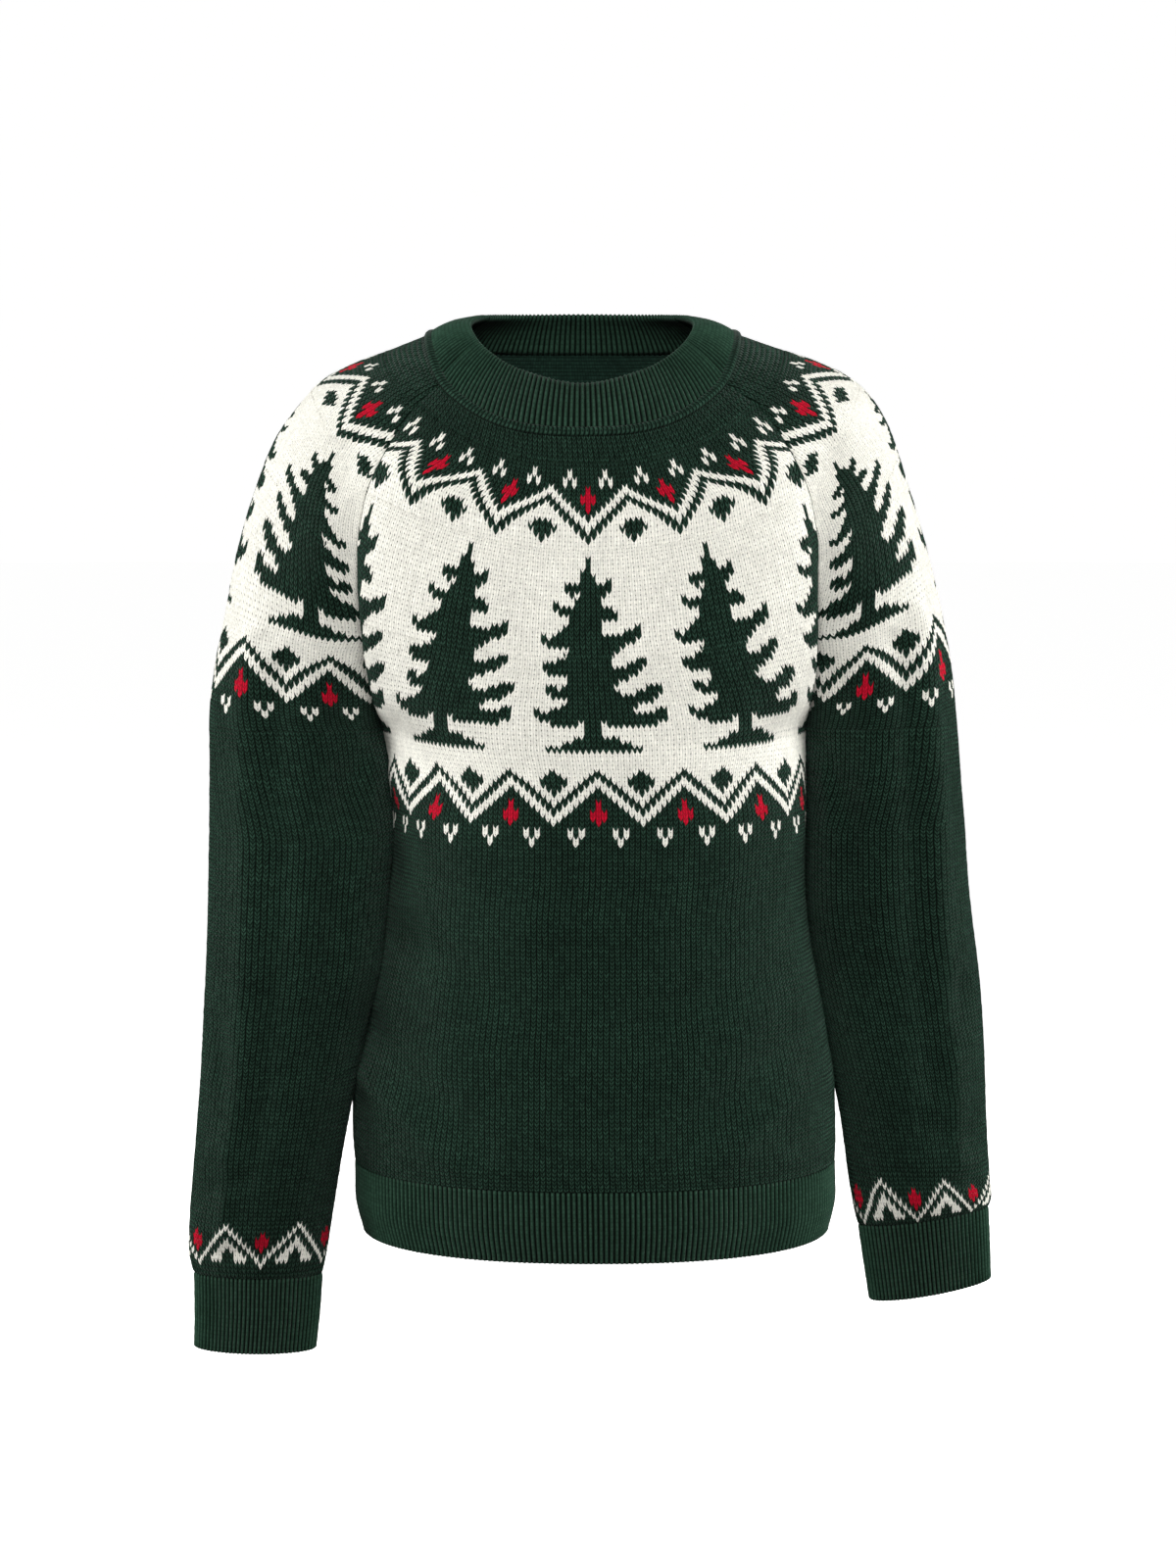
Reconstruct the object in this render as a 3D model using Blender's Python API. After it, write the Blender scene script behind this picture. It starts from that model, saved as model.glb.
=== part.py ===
"""A knitted raglan sweater with a fir tree yoke, hanging filled out on a wearer's shoulders.

The origin is the middle of the neck, +Z is up and the front faces -Y. Sizes are in millimetres. Each
piece is a wall through rows of points: the yoke's rows run from the neck (level 0) to the armpit (level
10), and the rows below it go on to the ribbed bands (level 20).
"""

import math

import bmesh
import bpy
import numpy as np

MM = 0.001

# Cloth
WALL = 2.4
NECKBAND_WALL = 3.0
RIB_HEIGHT = 1.3
SEAM_GAP = 0.3
HALF_GAP = SEAM_GAP / 2

# Level of the row through the armpits
ARMPIT = 10

# The wearer's sides, along X
RIGHT = -1
LEFT = 1

# Points nearer than this are one point
SAME_POINT = 1e-6

# Ribbed bands: ribs counted round each piece
NECK_RIBS = 88
HEM_RIBS = 64
CUFF_RIBS = 35

# Rows and columns of the walls
YOKE_LEVELS = (0, 0.8, 1.6, 2.4, 3.2, 4, 5, 6, 7, 8, 9, 10)
BODY_LEVELS = (10.7, 11.5, 12.5, 13.5, 14.5, 15.5, 16.5, 17.5, 18.5, 19.3, 20)
SLEEVE_LEVELS = (10.6, 11.3, 12, 13, 14, 15, 16, 17, 18, 18.8, 19.4, 20)
BODY_COLUMNS = 20
SLEEVE_COLUMNS = 18
ROW_SAMPLES = 241

# How far the raglan seam's valley spreads over the cloth on each side
VALLEY_SPREAD = 15.0

# The body's section: the power of its superellipse, 2 being an ellipse, at the neck and from
# SQUARE_FROM down
NECK_POWER = 2.0
BODY_POWER = 2.25
SQUARE_FROM = 6

# A row's droop in the middle, as a power of the share of the way out: at the neck, and from DROOP_FROM
# down
NECK_DROOP = 3.0
BODY_DROOP = 2.0
DROOP_FROM = 2

# Below the armpit the side seam's end of a row stands higher than its middle, less and less over two
# levels
UNDERARM_LIFT = 4.0
UNDERARM_LEVELS = 2

# How far the sleeve's wall leans into the sleeve at the armpit, for each millimetre that it stands up
ARMPIT_LEAN = 0.3

# A fold dies out over this share of half a row beside a seam, and loses this share of its rise along
# its length
SEAM_FADE = 1 / 6
LENGTH_FADE = 0.45

YARN_GREEN = (0.014, 0.042, 0.026, 1.0)
WOOL_ROUGHNESS = 0.9


def table(names, *rows):
    """A table with named columns, the first of which the others are read against."""
    values = np.array(rows, float)
    return {name: values[:, column] for column, name in enumerate(names.split())}


# The yoke: the middle of the front and back, and the raglan seams that bound them. end is how far round
# the body's section goes, in degrees from its middle. depth is half the depth of the sleeve's arc over
# the shoulder, sleeve_end how far round that arc goes, and valley how deep the seam lies in the cloth.
YOKE = table(
    "level front_y front_z back_y back_z seam_x centre_x seam_y front_seam_z back_seam_z end depth "
    "sleeve_end valley",
    (0, -100, -61, 80, -5, 95, -3.5, -2, -28, -3, 66, 62, 58, 0),
    (1, -105, -80, 88, -28, 112, -1, -2, -42, -18, 66, 72, 62, 0),
    (2, -110, -100, 94, -54, 127, 0, -2, -60, -42, 66, 80, 66, 1),
    (3, -116, -132, 100, -90, 146, 0, -2, -93, -80, 68, 84, 71, 3),
    (4, -119, -150, 103, -116, 154, 0, -2, -113, -102, 70, 81, 75, 6),
    (5, -122, -170, 105, -144, 160, 0, -2, -138, -128, 74, 75, 82, 9),
    (6, -124.5, -190, 106.5, -172, 162, 0, -2, -163, -155, 78, 66, 92, 11),
    (7, -126.5, -210, 107, -198, 160, 1, -2, -189, -183, 82, 58, 108, 11),
    (8, -127.5, -230, 107, -222, 156, 2, -2, -216, -212, 86, 53, 128, 9),
    (9, -128, -250, 107, -246, 150.5, 3, -2, -243, -241, 89, 49, 153, 5),
    (10, -128, -266, 107, -266, 146, 4, -2, -262, -262, 90, 46.5, 180, 0),
)

# The body below the armpits
BODY = table(
    "level z half_x centre_x front_y back_y",
    (10, -266, 146, 4, -128, 107),
    (11, -290, 143.7, 6.3, -128, 106),
    (12, -320, 143, 7, -127, 104),
    (13, -350, 143.2, 6.8, -124, 101),
    (14, -385, 146.3, 4.8, -120.5, 99),
    (15, -415, 150.2, 4.9, -118.5, 99.5),
    (16, -441, 155.3, 4.8, -117.5, 101),
    (17, -480, 162.6, 4.4, -117, 104),
    (18, -510, 167.6, 4, -117.5, 107.5),
    (19, -545, 168.4, 4.3, -119.5, 110.5),
    (20, -564, 167.6, 4.8, -118.5, 110),
)

# The hem's ribbed band
HEM = table(
    "level z half_x centre_x front_y back_y",
    (0, -564, 166.6, 4.8, -117.5, 109.5),
    (1, -589, 167, 5.2, -116.5, 109),
    (2, -613.5, 162, 5.5, -113, 106.5),
)

# Each sleeve's outer line, from the neck over the shoulder to the cuff
RIGHT_OUTER = table(
    "level outer_x outer_z",
    (0, -109, 4),
    (1, -134, -5.5),
    (2, -154, -12),
    (3, -181, -25),
    (4, -197, -42),
    (5, -212.5, -63),
    (6, -226.5, -96),
    (7, -240.5, -141),
    (8, -251, -192),
    (9, -258, -226),
    (10, -261.5, -262),
    (11, -261, -303),
    (12, -260.2, -338),
    (13, -260.3, -378),
    (14, -261.2, -416),
    (15, -263.2, -453),
    (16, -266.4, -503),
    (17, -271.6, -559),
    (18, -275.5, -600),
    (19, -276.7, -623),
    (20, -274, -639),
)
LEFT_OUTER = table(
    "level outer_x outer_z",
    (0, 102, 4),
    (1, 128, -4.5),
    (2, 149, -10.5),
    (3, 177, -22.5),
    (4, 193, -36.5),
    (5, 205, -56),
    (6, 217, -90),
    (7, 231, -135),
    (8, 243, -183),
    (9, 250.5, -222),
    (10, 254.5, -259),
    (11, 258.5, -300),
    (12, 262.5, -335),
    (13, 266, -372),
    (14, 270.5, -406),
    (15, 276, -446),
    (16, 279.5, -493),
    (17, 281.3, -540),
    (18, 284, -584),
    (19, 285.2, -597),
    (20, 283.5, -603.5),
)

# Each sleeve below the armpit: its inner line, the middle of its depth and half its depth
RIGHT_INNER = table(
    "level inner_x inner_z y depth",
    (10, -142, -262, -2, 46.5),
    (10.5, -140.2, -282, -3.5, 46.5),
    (11, -138.9, -303, -9, 46.5),
    (12, -136.8, -336, -22, 46),
    (13, -140, -379, -32, 45),
    (14, -143, -418, -38, 44),
    (15, -149.5, -453, -40, 42),
    (16, -159.5, -502, -40, 39.5),
    (17, -170.5, -559, -38, 36.5),
    (18, -177.3, -600, -36, 32.5),
    (19, -181, -623, -35, 27.5),
    (20, -184.5, -640, -34, 23),
)
LEFT_INNER = table(
    "level inner_x inner_z y depth",
    (10, 150, -262, -2, 46.5),
    (10.5, 151.2, -282, -1, 48),
    (11, 151.8, -302, 3, 50),
    (12, 151.8, -337, 10, 52),
    (13, 152, -374, 16, 52),
    (14, 154.5, -408, 20, 50),
    (15, 160.8, -448, 22, 47),
    (16, 169.5, -495, 21, 43.5),
    (17, 179, -542, 19, 40),
    (18, 185, -586, 15, 34.5),
    (19, 188.5, -606, 13, 28.5),
    (20, 191, -617, 12, 23.5),
)

# The cuffs, with the same columns
RIGHT_CUFF = table(
    "level outer_x outer_z inner_x inner_z y depth",
    (0, -272.5, -639.3, -185.5, -640.3, -34, 21.5),
    (1, -272.5, -665, -187.5, -667, -34, 20.5),
    (2, -273.2, -692, -190.5, -693.5, -34, 20.5),
)
LEFT_CUFF = table(
    "level outer_x outer_z inner_x inner_z y depth",
    (0, 282.2, -603.9, 192.3, -617.3, 12, 21.5),
    (1, 283.5, -629, 196.3, -643, 11, 20.5),
    (2, 284.5, -655.5, 200.7, -671, 10, 20.5),
)

# The neckband's free edge, by the angle round the neck from the front
NECK_EDGE = table(
    "angle z",
    (0, -29),
    (34, -19),
    (55, -7),
    (85, 11),
    (120, 19),
    (180, 21),
)
NECK_EDGE_CENTRE = (-4.0, -9.0)
NECK_EDGE_HALF = (77.0, 71.0)
NECKBAND_BULGE = 2.5

# The largest folds: a line on the cloth from one place to another, how wide it spreads and how far it
# stands out (+) or sinks in (-). across is x on the body, and on a sleeve the distance round from its
# outer line, to the front (-) or the back (+).
FOLD_COLUMNS = "across z across_end z_end spread rise"
FOLDS = {
    "front": table(
        FOLD_COLUMNS,
        (-132, -262, -62, -318, 15, -4.0),
        (-128, -292, -78, -352, 12, 2.6),
        (140, -258, 70, -306, 15, -3.8),
        (136, -286, 92, -350, 12, 2.4),
        (-118, -540, -70, -556, 9, 2.2),
        (88, -538, 140, -552, 9, 2.4),
        (-20, -520, 18, -470, 22, 2.0),
    ),
    "back": table(
        FOLD_COLUMNS,
        (-136, -262, -58, -322, 16, -4.4),
        (138, -260, 66, -312, 15, -4.2),
        (-104, -420, 96, -436, 17, -3.2),
        (-80, -392, 70, -402, 12, 2.4),
        (-112, -540, -52, -556, 9, 2.4),
        (70, -536, 128, -554, 9, 2.2),
    ),
    "right_sleeve": table(
        FOLD_COLUMNS,
        (-58, -215, -60, -505, 8, 2.6),
        (-47, -70, -70, -128, 7, -5.0),
        (-142, -270, -92, -330, 12, -3.6),
        (-30, -462, -48, -520, 12, -4.2),
        (-92, -452, -52, -436, 10, -2.4),
        (-70, -565, -20, -582, 9, -3.0),
        (-96, -618, -30, -626, 7, -2.4),
        (44, -300, 104, -360, 14, -3.4),
        (40, -470, 96, -500, 11, -3.8),
        (30, -600, 90, -612, 8, -2.6),
    ),
    "left_sleeve": table(
        FOLD_COLUMNS,
        (-52, -205, -54, -500, 8, 2.6),
        (-46, -66, -70, -124, 7, -5.0),
        (-140, -268, -96, -334, 12, -3.4),
        (-40, -446, -62, -508, 12, -4.0),
        (-96, -430, -60, -416, 10, -2.2),
        (-76, -540, -24, -556, 9, -3.0),
        (-98, -578, -30, -584, 7, -2.4),
        (46, -296, 108, -352, 14, -3.6),
        (38, -462, 92, -494, 11, -3.6),
        (30, -566, 92, -580, 8, -2.6),
    ),
}
MM_PER_SLEEVE_DEGREE = 0.9


def read(source, name, level):
    """A column at any level: a cubic through the table's values that never overshoots them."""
    keys, values = source[next(iter(source))], source[name]
    steps = np.diff(keys)
    slopes = np.diff(values) / steps
    rising = slopes[:-1] * slopes[1:]
    shared = np.where(rising > 0, 2 * rising / np.where(rising > 0, slopes[:-1] + slopes[1:], 1), 0)
    tangents = np.concatenate([slopes[:1], shared, slopes[-1:]])
    at = np.clip(np.searchsorted(keys, level, "right") - 1, 0, len(steps) - 1)
    t = (level - keys[at]) / steps[at]
    start, end = values[at], values[at + 1]
    return (
        (1 + 2 * t) * (1 - t) ** 2 * start
        + t * (1 - t) ** 2 * steps[at] * tangents[at]
        + t * t * (3 - 2 * t) * end
        + t * t * (t - 1) * steps[at] * tangents[at + 1]
    )


def unit(vectors):
    return vectors / np.maximum(np.linalg.norm(vectors, axis=-1, keepdims=True), 1e-9)


def body_row(level, back, band=None):
    """The front's or the back's row at a level of the body or of a band, from the wearer's right to the
    left."""
    side = "back" if back else "front"
    if band is None and level <= ARMPIT:
        end = math.radians(read(YOKE, "end", level))
        half_x = read(YOKE, "seam_x", level)
        centre_x = read(YOKE, "centre_x", level)
        reach = read(YOKE, "depth", level) * math.sin(math.radians(read(YOKE, "sleeve_end", level)))
        edge_y = read(YOKE, "seam_y", level) + (reach if back else -reach)
        edge_z = read(YOKE, side + "_seam_z", level)
        middle_z = read(YOKE, side + "_z", level)
        middle_y = read(YOKE, side + "_y", level)
    else:
        source = BODY if band is None else band
        end = math.pi / 2
        half_x = read(source, "half_x", level)
        centre_x = read(source, "centre_x", level)
        edge_y = read(YOKE, "seam_y", ARMPIT)
        middle_z = read(source, "z", level)
        middle_y = read(source, side + "_y", level)
        lift = 0 if band else max(0, 1 - (level - ARMPIT) / UNDERARM_LEVELS)
        edge_z = middle_z + UNDERARM_LIFT * lift**2
    near_neck = 0 if band else max(0, 1 - level / SQUARE_FROM)
    power = 2 / (BODY_POWER + (NECK_POWER - BODY_POWER) * near_neck)
    drooping = 0 if band else max(0, 1 - level / DROOP_FROM)
    droop = BODY_DROOP + (NECK_DROOP - BODY_DROOP) * drooping
    turn = np.linspace(-end, end, ROW_SAMPLES)
    across = np.sign(turn) * (np.abs(np.sin(turn)) / math.sin(end)) ** power
    least = max(0, math.cos(end)) ** power
    along = (np.abs(np.cos(turn)) ** power - least) / (1 - least)
    return np.stack(
        [
            centre_x + half_x * across,
            edge_y + (middle_y - edge_y) * along,
            middle_z + (edge_z - middle_z) * np.abs(across) ** droop,
        ],
        axis=-1,
    )


def sleeve_row(level, side, band=None):
    """A sleeve's or a cuff's row at a level, from the front round its outer line to the back. side is
    -1 for the wearer's right and 1 for the left."""
    outer = band or (RIGHT_OUTER if side < 0 else LEFT_OUTER)
    outer_x = read(outer, "outer_x", level)
    outer_z = read(outer, "outer_z", level)
    if band is None and level < ARMPIT:
        end = math.radians(read(YOKE, "sleeve_end", level))
        inner_x = read(YOKE, "centre_x", level) + side * read(YOKE, "seam_x", level)
        front_z = read(YOKE, "front_seam_z", level)
        back_z = read(YOKE, "back_seam_z", level)
        inner_z = (front_z + back_z) / 2
        lean = (back_z - front_z) / 2 / math.sin(end)
        middle_y = read(YOKE, "seam_y", level)
        depth = read(YOKE, "depth", level)
    else:
        inner = band or (RIGHT_INNER if side < 0 else LEFT_INNER)
        end = math.pi
        inner_x = read(inner, "inner_x", level)
        inner_z = read(inner, "inner_z", level)
        lean = 0
        middle_y = read(inner, "y", level)
        depth = read(inner, "depth", level)
    turn = np.linspace(-end, end, ROW_SAMPLES)
    along = (np.cos(turn) - math.cos(end)) / (1 - math.cos(end))
    return np.stack(
        [
            inner_x + (outer_x - inner_x) * along,
            middle_y + depth * np.sin(turn),
            inner_z + (outer_z - inner_z) * along + lean * np.sin(turn),
        ],
        axis=-1,
    )


def row_points(row, shares):
    """Points on a row by their share of the way from its middle to its start (-1) or its end (+1)."""
    middle = len(row) // 2
    lengths = np.concatenate([[0], np.cumsum(np.linalg.norm(np.diff(row, axis=0), axis=1))])
    lengths -= lengths[middle]
    at = np.where(shares < 0, -shares * lengths[0], shares * lengths[-1])
    return np.stack([np.interp(at, lengths, row[:, axis]) for axis in range(3)], axis=-1)


def normals_of(points, closed_from=None):
    """Directions square to a grid of points, whose rows are closed rings from the row closed_from on."""
    along = np.gradient(points, axis=0)
    across = np.gradient(points, axis=1)
    if closed_from is not None:
        turn = (points[closed_from:, 1] - points[closed_from:, -2]) / 2
        across[closed_from:, 0] = turn
        across[closed_from:, -1] = turn
    return unit(np.cross(across, along))


def fold_rise(name, across, height):
    """How far the cloth's folds move it out at places on a piece."""
    rise = np.zeros_like(height)
    folds = FOLDS[name]
    for x, z, x_end, z_end, spread, most in zip(*(folds[column] for column in FOLD_COLUMNS.split())):
        run = np.array([x_end - x, z_end - z])
        offset = np.stack([across - x, height - z], axis=-1)
        share = np.clip(offset @ run / (run @ run), 0, 1)
        apart = np.linalg.norm(offset - share[..., None] * run, axis=-1)
        rise += most * np.exp(-((apart / spread) ** 2)) * (1 - LENGTH_FADE * share)
    return rise


def fade_to_seams(shares):
    """1 over most of a row, down to 0 at its two ends."""
    return np.clip((1 - np.abs(shares)) / SEAM_FADE, 0, 1)


class Piece:
    """A piece's outer points in a grid, the directions that its wall is thickened along, and the shifts
    at its seams."""

    def __init__(self, name, rows, outward, closed_from=None):
        self.name = name
        self.closed_from = closed_from
        self.points = np.array(rows)
        self.normals = outward * normals_of(self.points, closed_from)
        self.shifts = np.zeros_like(self.points)

    def fold(self, across, fade):
        rise = fold_rise(self.name, across, self.points[..., 2]) * fade
        rise[0] = 0
        rise[-1] = 0
        self.points = self.points + rise[..., None] * self.normals


def body_piece(name, back):
    levels = YOKE_LEVELS + BODY_LEVELS
    shares = np.linspace(-1, 1, BODY_COLUMNS + 1)
    rows = [row_points(body_row(level, back), shares) for level in levels]
    piece = Piece(name, rows, outward=1 if back else -1)
    piece.fold(piece.points[..., 0], fade_to_seams(shares)[None])
    return piece


def sleeve_piece(name, side):
    levels = np.array(YOKE_LEVELS + SLEEVE_LEVELS)
    shares = np.linspace(-1, 1, SLEEVE_COLUMNS + 1)
    rows = [row_points(sleeve_row(level, side), shares) for level in levels]
    piece = Piece(name, rows, outward=-side, closed_from=YOKE_LEVELS.index(ARMPIT))
    degrees = [read(YOKE, "sleeve_end", min(level, ARMPIT)) for level in levels]
    around = shares[None] * np.array(degrees)[:, None] * MM_PER_SLEEVE_DEGREE
    piece.fold(around, np.where(levels[:, None] <= ARMPIT, fade_to_seams(shares)[None], 1))
    # The ring's two ends are one line of points
    piece.points[piece.closed_from :, -1] = piece.points[piece.closed_from :, 0]
    return piece


def press_valley(piece, column, facing, depths):
    """Sinks the cloth beside a raglan seam, which lies at the bottom of the valley."""
    rows = piece.points[: len(depths)]
    steps = np.linalg.norm(np.diff(rows, axis=1), axis=2)
    lengths = np.pad(np.cumsum(steps, axis=1), ((0, 0), (1, 0)))
    apart = lengths if column == 0 else lengths[:, -1:] - lengths
    sink = depths[:, None] * np.exp(-((apart / VALLEY_SPREAD) ** 2))
    piece.points[: len(depths)] = rows - sink[..., None] * facing[:, None]


def join_raglan(body, body_column, sleeve, sleeve_column):
    """The raglan seam from the neck to just above the armpit."""
    count = len(YOKE_LEVELS) - 1
    rows = slice(0, count)
    facing = unit(body.normals[rows, body_column] + sleeve.normals[rows, sleeve_column])
    depths = np.array([read(YOKE, "valley", level) for level in YOKE_LEVELS[:count]])
    press_valley(body, body_column, facing, depths)
    press_valley(sleeve, sleeve_column, facing, depths)
    armpit = body.points[count, body_column]
    seam = np.concatenate([body.points[rows, body_column], armpit[None]])
    run = unit(np.gradient(seam, axis=0))[:count]
    across = unit(np.cross(run, facing))
    for piece, column in ((body, body_column), (sleeve, sleeve_column)):
        inside = piece.points[rows, 1 if column == 0 else -2] - piece.points[rows, column]
        towards = np.sign(np.sum(inside * across, axis=-1))[:, None]
        piece.normals[rows, column] = facing
        piece.shifts[rows, column] += HALF_GAP * towards * across


def join_armpit(front, back, sleeve, side):
    """Front, back and sleeve meet in one point at the armpit, where the walls stand on end."""
    row = YOKE_LEVELS.index(ARMPIT)
    column = 0 if side == RIGHT else -1
    for piece, forward in ((front, -1), (back, 1)):
        piece.normals[row, column] = (0, 0, -1)
        piece.shifts[row, column] = (-side * HALF_GAP, forward * HALF_GAP, 0)
    for end in (0, -1):
        sleeve.normals[row, end] = unit(np.array([-side * ARMPIT_LEAN, 0, -1]))
        sleeve.shifts[row, end] = (side * HALF_GAP, 0, 0)


def join_side(front, back, side):
    """The side seam from the armpit to the hem."""
    row = YOKE_LEVELS.index(ARMPIT)
    column = 0 if side == RIGHT else -1
    for piece, forward in ((front, -1), (back, 1)):
        piece.normals[row + 1 :, column] = (side, 0, 0)
        piece.shifts[row + 1 :, column] = (0, forward * HALF_GAP, 0)


def square_hem_end(piece):
    """Turns the wall's directions at the hem's end level, so that the end is square to the hem's band."""
    piece.normals[-1] = unit(piece.normals[-1] * (1, 1, 0))
    piece.shifts[-1, :, 2] += HALF_GAP


def neck_rows(front, back, right, left):
    """The seam round the neck, from the middle of the front to the wearer's left and round: its points,
    their directions, and the piece and column that each is from."""
    half = BODY_COLUMNS // 2
    top = (
        (front, range(half, BODY_COLUMNS + 1)),
        (left, range(0, SLEEVE_COLUMNS + 1)),
        (back, range(BODY_COLUMNS, -1, -1)),
        (right, range(SLEEVE_COLUMNS, -1, -1)),
        (front, range(0, half)),
    )
    owners = [(piece, column) for piece, columns in top for column in columns]
    points = np.array([piece.points[0, column] for piece, column in owners])
    normals = np.array([piece.normals[0, column] for piece, column in owners])
    return points, normals, owners


def neck_edge(angle):
    """A point on the neckband's free edge. angle is in radians from the front, to the wearer's left."""
    half_x, half_y = NECK_EDGE_HALF
    return np.stack(
        [
            NECK_EDGE_CENTRE[0] + half_x * np.sin(angle),
            NECK_EDGE_CENTRE[1] - half_y * np.cos(angle),
            read(NECK_EDGE, "z", np.abs(np.degrees(angle))),
        ],
        axis=-1,
    )


def rib_rise(columns):
    """The rise of a band's outer points: a rib on every second column."""
    return RIB_HEIGHT * (np.arange(columns) % 2)[:, None]


def neck_angle(points):
    """The angle round the neck of places near it, from the front to the wearer's left."""
    centre_x, centre_y = NECK_EDGE_CENTRE
    return np.arctan2(points[..., 0] - centre_x, centre_y - points[..., 1])


def aligned(vectors, guide):
    """The vectors, each turned round where it points against its guide."""
    return vectors * np.sign(np.sum(vectors * guide, axis=-1))[..., None]


def neckband(front, back, right, left):
    """The ribbed neckband's walls. The panels' neck edges take the same directions as the band's."""
    seam, facing, owners = neck_rows(front, back, right, left)
    keep = np.linalg.norm(np.roll(seam, -1, axis=0) - seam, axis=1) > SAME_POINT
    loop = np.concatenate([seam[keep], seam[keep][:1]])
    loop_facing = np.concatenate([facing[keep], facing[keep][:1]])
    loop_at = np.pad(np.cumsum(np.linalg.norm(np.diff(loop, axis=0), axis=1)), (1, 0))
    columns = 2 * NECK_RIBS
    at = np.arange(columns) * loop_at[-1] / columns
    low = np.stack([np.interp(at, loop_at, loop[:, axis]) for axis in range(3)], axis=-1)
    low_facing = np.stack([np.interp(at, loop_at, loop_facing[:, axis]) for axis in range(3)], axis=-1)
    high = neck_edge(neck_angle(low))
    run = unit(np.roll(low, -1, axis=0) - np.roll(low, 1, axis=0))
    band_facing = aligned(unit(np.cross(run, high - low)), low_facing)
    shared = unit(band_facing + low_facing)
    away = aligned(unit(np.cross(run, shared)), high - low)

    panel_high = neck_edge(neck_angle(seam))
    for index, (piece, column) in enumerate(owners):
        step = unit(seam[(index + 1) % len(seam)] - seam[index - 1])
        up = panel_high[index] - seam[index]
        band = aligned(unit(np.cross(step, up)), facing[index])
        piece.normals[0, column] = unit(band + facing[index])
        piece.shifts[0, column] -= HALF_GAP * aligned(unit(np.cross(step, piece.normals[0, column])), up)

    rise = rib_rise(columns)
    middle = (low + high) / 2 + NECKBAND_BULGE * band_facing
    low = low + HALF_GAP * away
    outer = np.array([low + rise * shared, middle + rise * band_facing, high + rise * band_facing])
    inner = np.array([low - NECKBAND_WALL * shared, high - NECKBAND_WALL * band_facing])
    return outer, inner


def cuff(side, source):
    """A cuff's walls: rows of ribs round a tube."""
    columns = 2 * CUFF_RIBS
    shares = np.linspace(-1, 1, columns + 1)[:-1]
    rows = np.array([row_points(sleeve_row(level, side, source), shares) for level in source["level"]])
    middle = rows.mean(axis=1, keepdims=True)
    run = np.roll(rows, -1, axis=1) - np.roll(rows, 1, axis=1)
    facing = aligned(unit(np.cross(run, unit(middle[-1] - middle[0])[None])), rows - middle)
    outer = rows + rib_rise(columns) * facing
    inner = (rows - WALL * facing)[[0, -1]]
    return outer, inner


def hem_band(back):
    """The walls of the hem's ribbed band on the front or the back."""
    columns = 2 * HEM_RIBS + 1
    shares = np.linspace(-1, 1, columns)
    rows = np.array([row_points(body_row(level, back, HEM), shares) for level in HEM["level"]])
    outward = 1 if back else -1
    facing = outward * unit(normals_of(rows) * (1, 1, 0))
    outer = rows + rib_rise(columns) * facing
    inner = (rows - WALL * facing)[[0, -1]]
    ends = [0, -1]
    outer[:, ends, 1] += outward * HALF_GAP
    inner[:, ends] = rows[ends][:, ends] + (0, outward * HALF_GAP, 0)
    inner[:, 0, 0] += WALL
    inner[:, -1, 0] -= WALL
    outer[0, :, 2] -= HALF_GAP
    inner[0, :, 2] -= HALF_GAP
    return outer, inner


def wool(name):
    material = bpy.data.materials.new(name)
    material.use_nodes = True
    shader = material.node_tree.nodes["Principled BSDF"]
    shader.inputs["Base Color"].default_value = YARN_GREEN
    shader.inputs["Roughness"].default_value = WOOL_ROUGHNESS
    shader.inputs["Metallic"].default_value = 0.0
    return material


def add_rows(mesh, rows, closed_from):
    """A grid's vertices. From the row closed_from on, a row's last vertex is its first one again."""
    made = []
    for index, row in enumerate(rows):
        is_ring = index >= closed_from
        points = [mesh.verts.new(point * MM) for point in (row[:-1] if is_ring else row)]
        made.append(points + points[:1] if is_ring else points)
    return made


def add_strips(mesh, rows, columns):
    """The faces between each row of vertices and the next."""
    for low, high in zip(rows, rows[1:]):
        for column, after in columns:
            mesh.faces.new((low[column], low[after], high[after], high[column]))


def add_end(mesh, outside, inside, column, steps):
    """The faces that close a wall at one end of its rows."""
    edge_out = [row[column] for row in outside[: steps + 1]]
    edge_in = [row[column] for row in inside[: steps + 1]]
    if len(edge_out) != len(edge_in):
        mesh.faces.new(edge_out + edge_in[::-1])
        return
    for row in range(steps):
        mesh.faces.new((edge_out[row], edge_out[row + 1], edge_in[row + 1], edge_in[row]))


def build_wall(name, outer, inner, ring=False, closed_from=None):
    """One closed solid between a grid of outer points and a grid of inner points with the same columns.
    The rows are rings throughout, or only from the row closed_from on, or not at all."""
    mesh = bmesh.new()
    first_ring = len(outer) if closed_from is None else closed_from
    outside = add_rows(mesh, outer, first_ring)
    inside = add_rows(mesh, inner, first_ring)
    count = outer.shape[1]
    columns = [(column, (column + 1) % count) for column in range(count if ring else count - 1)]
    add_strips(mesh, outside, columns)
    add_strips(mesh, inside, columns)
    add_strips(mesh, (outside[0], inside[0]), columns)
    add_strips(mesh, (outside[-1], inside[-1]), columns)
    if not ring:
        steps = min(first_ring, len(outside) - 1)
        add_end(mesh, outside, inside, 0, steps)
        add_end(mesh, outside, inside, -1, steps)
    bmesh.ops.recalc_face_normals(mesh, faces=mesh.faces)
    data = bpy.data.meshes.new(name)
    mesh.to_mesh(data)
    mesh.free()
    data.shade_smooth()
    data.materials.append(wool(name + "_wool"))
    bpy.context.scene.collection.objects.link(bpy.data.objects.new(name, data))


def build_piece(piece):
    outer = piece.points + piece.shifts
    build_wall(piece.name, outer, outer - WALL * piece.normals, closed_from=piece.closed_from)


def clear_scene():
    for old in list(bpy.data.objects):
        bpy.data.objects.remove(old)


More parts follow.
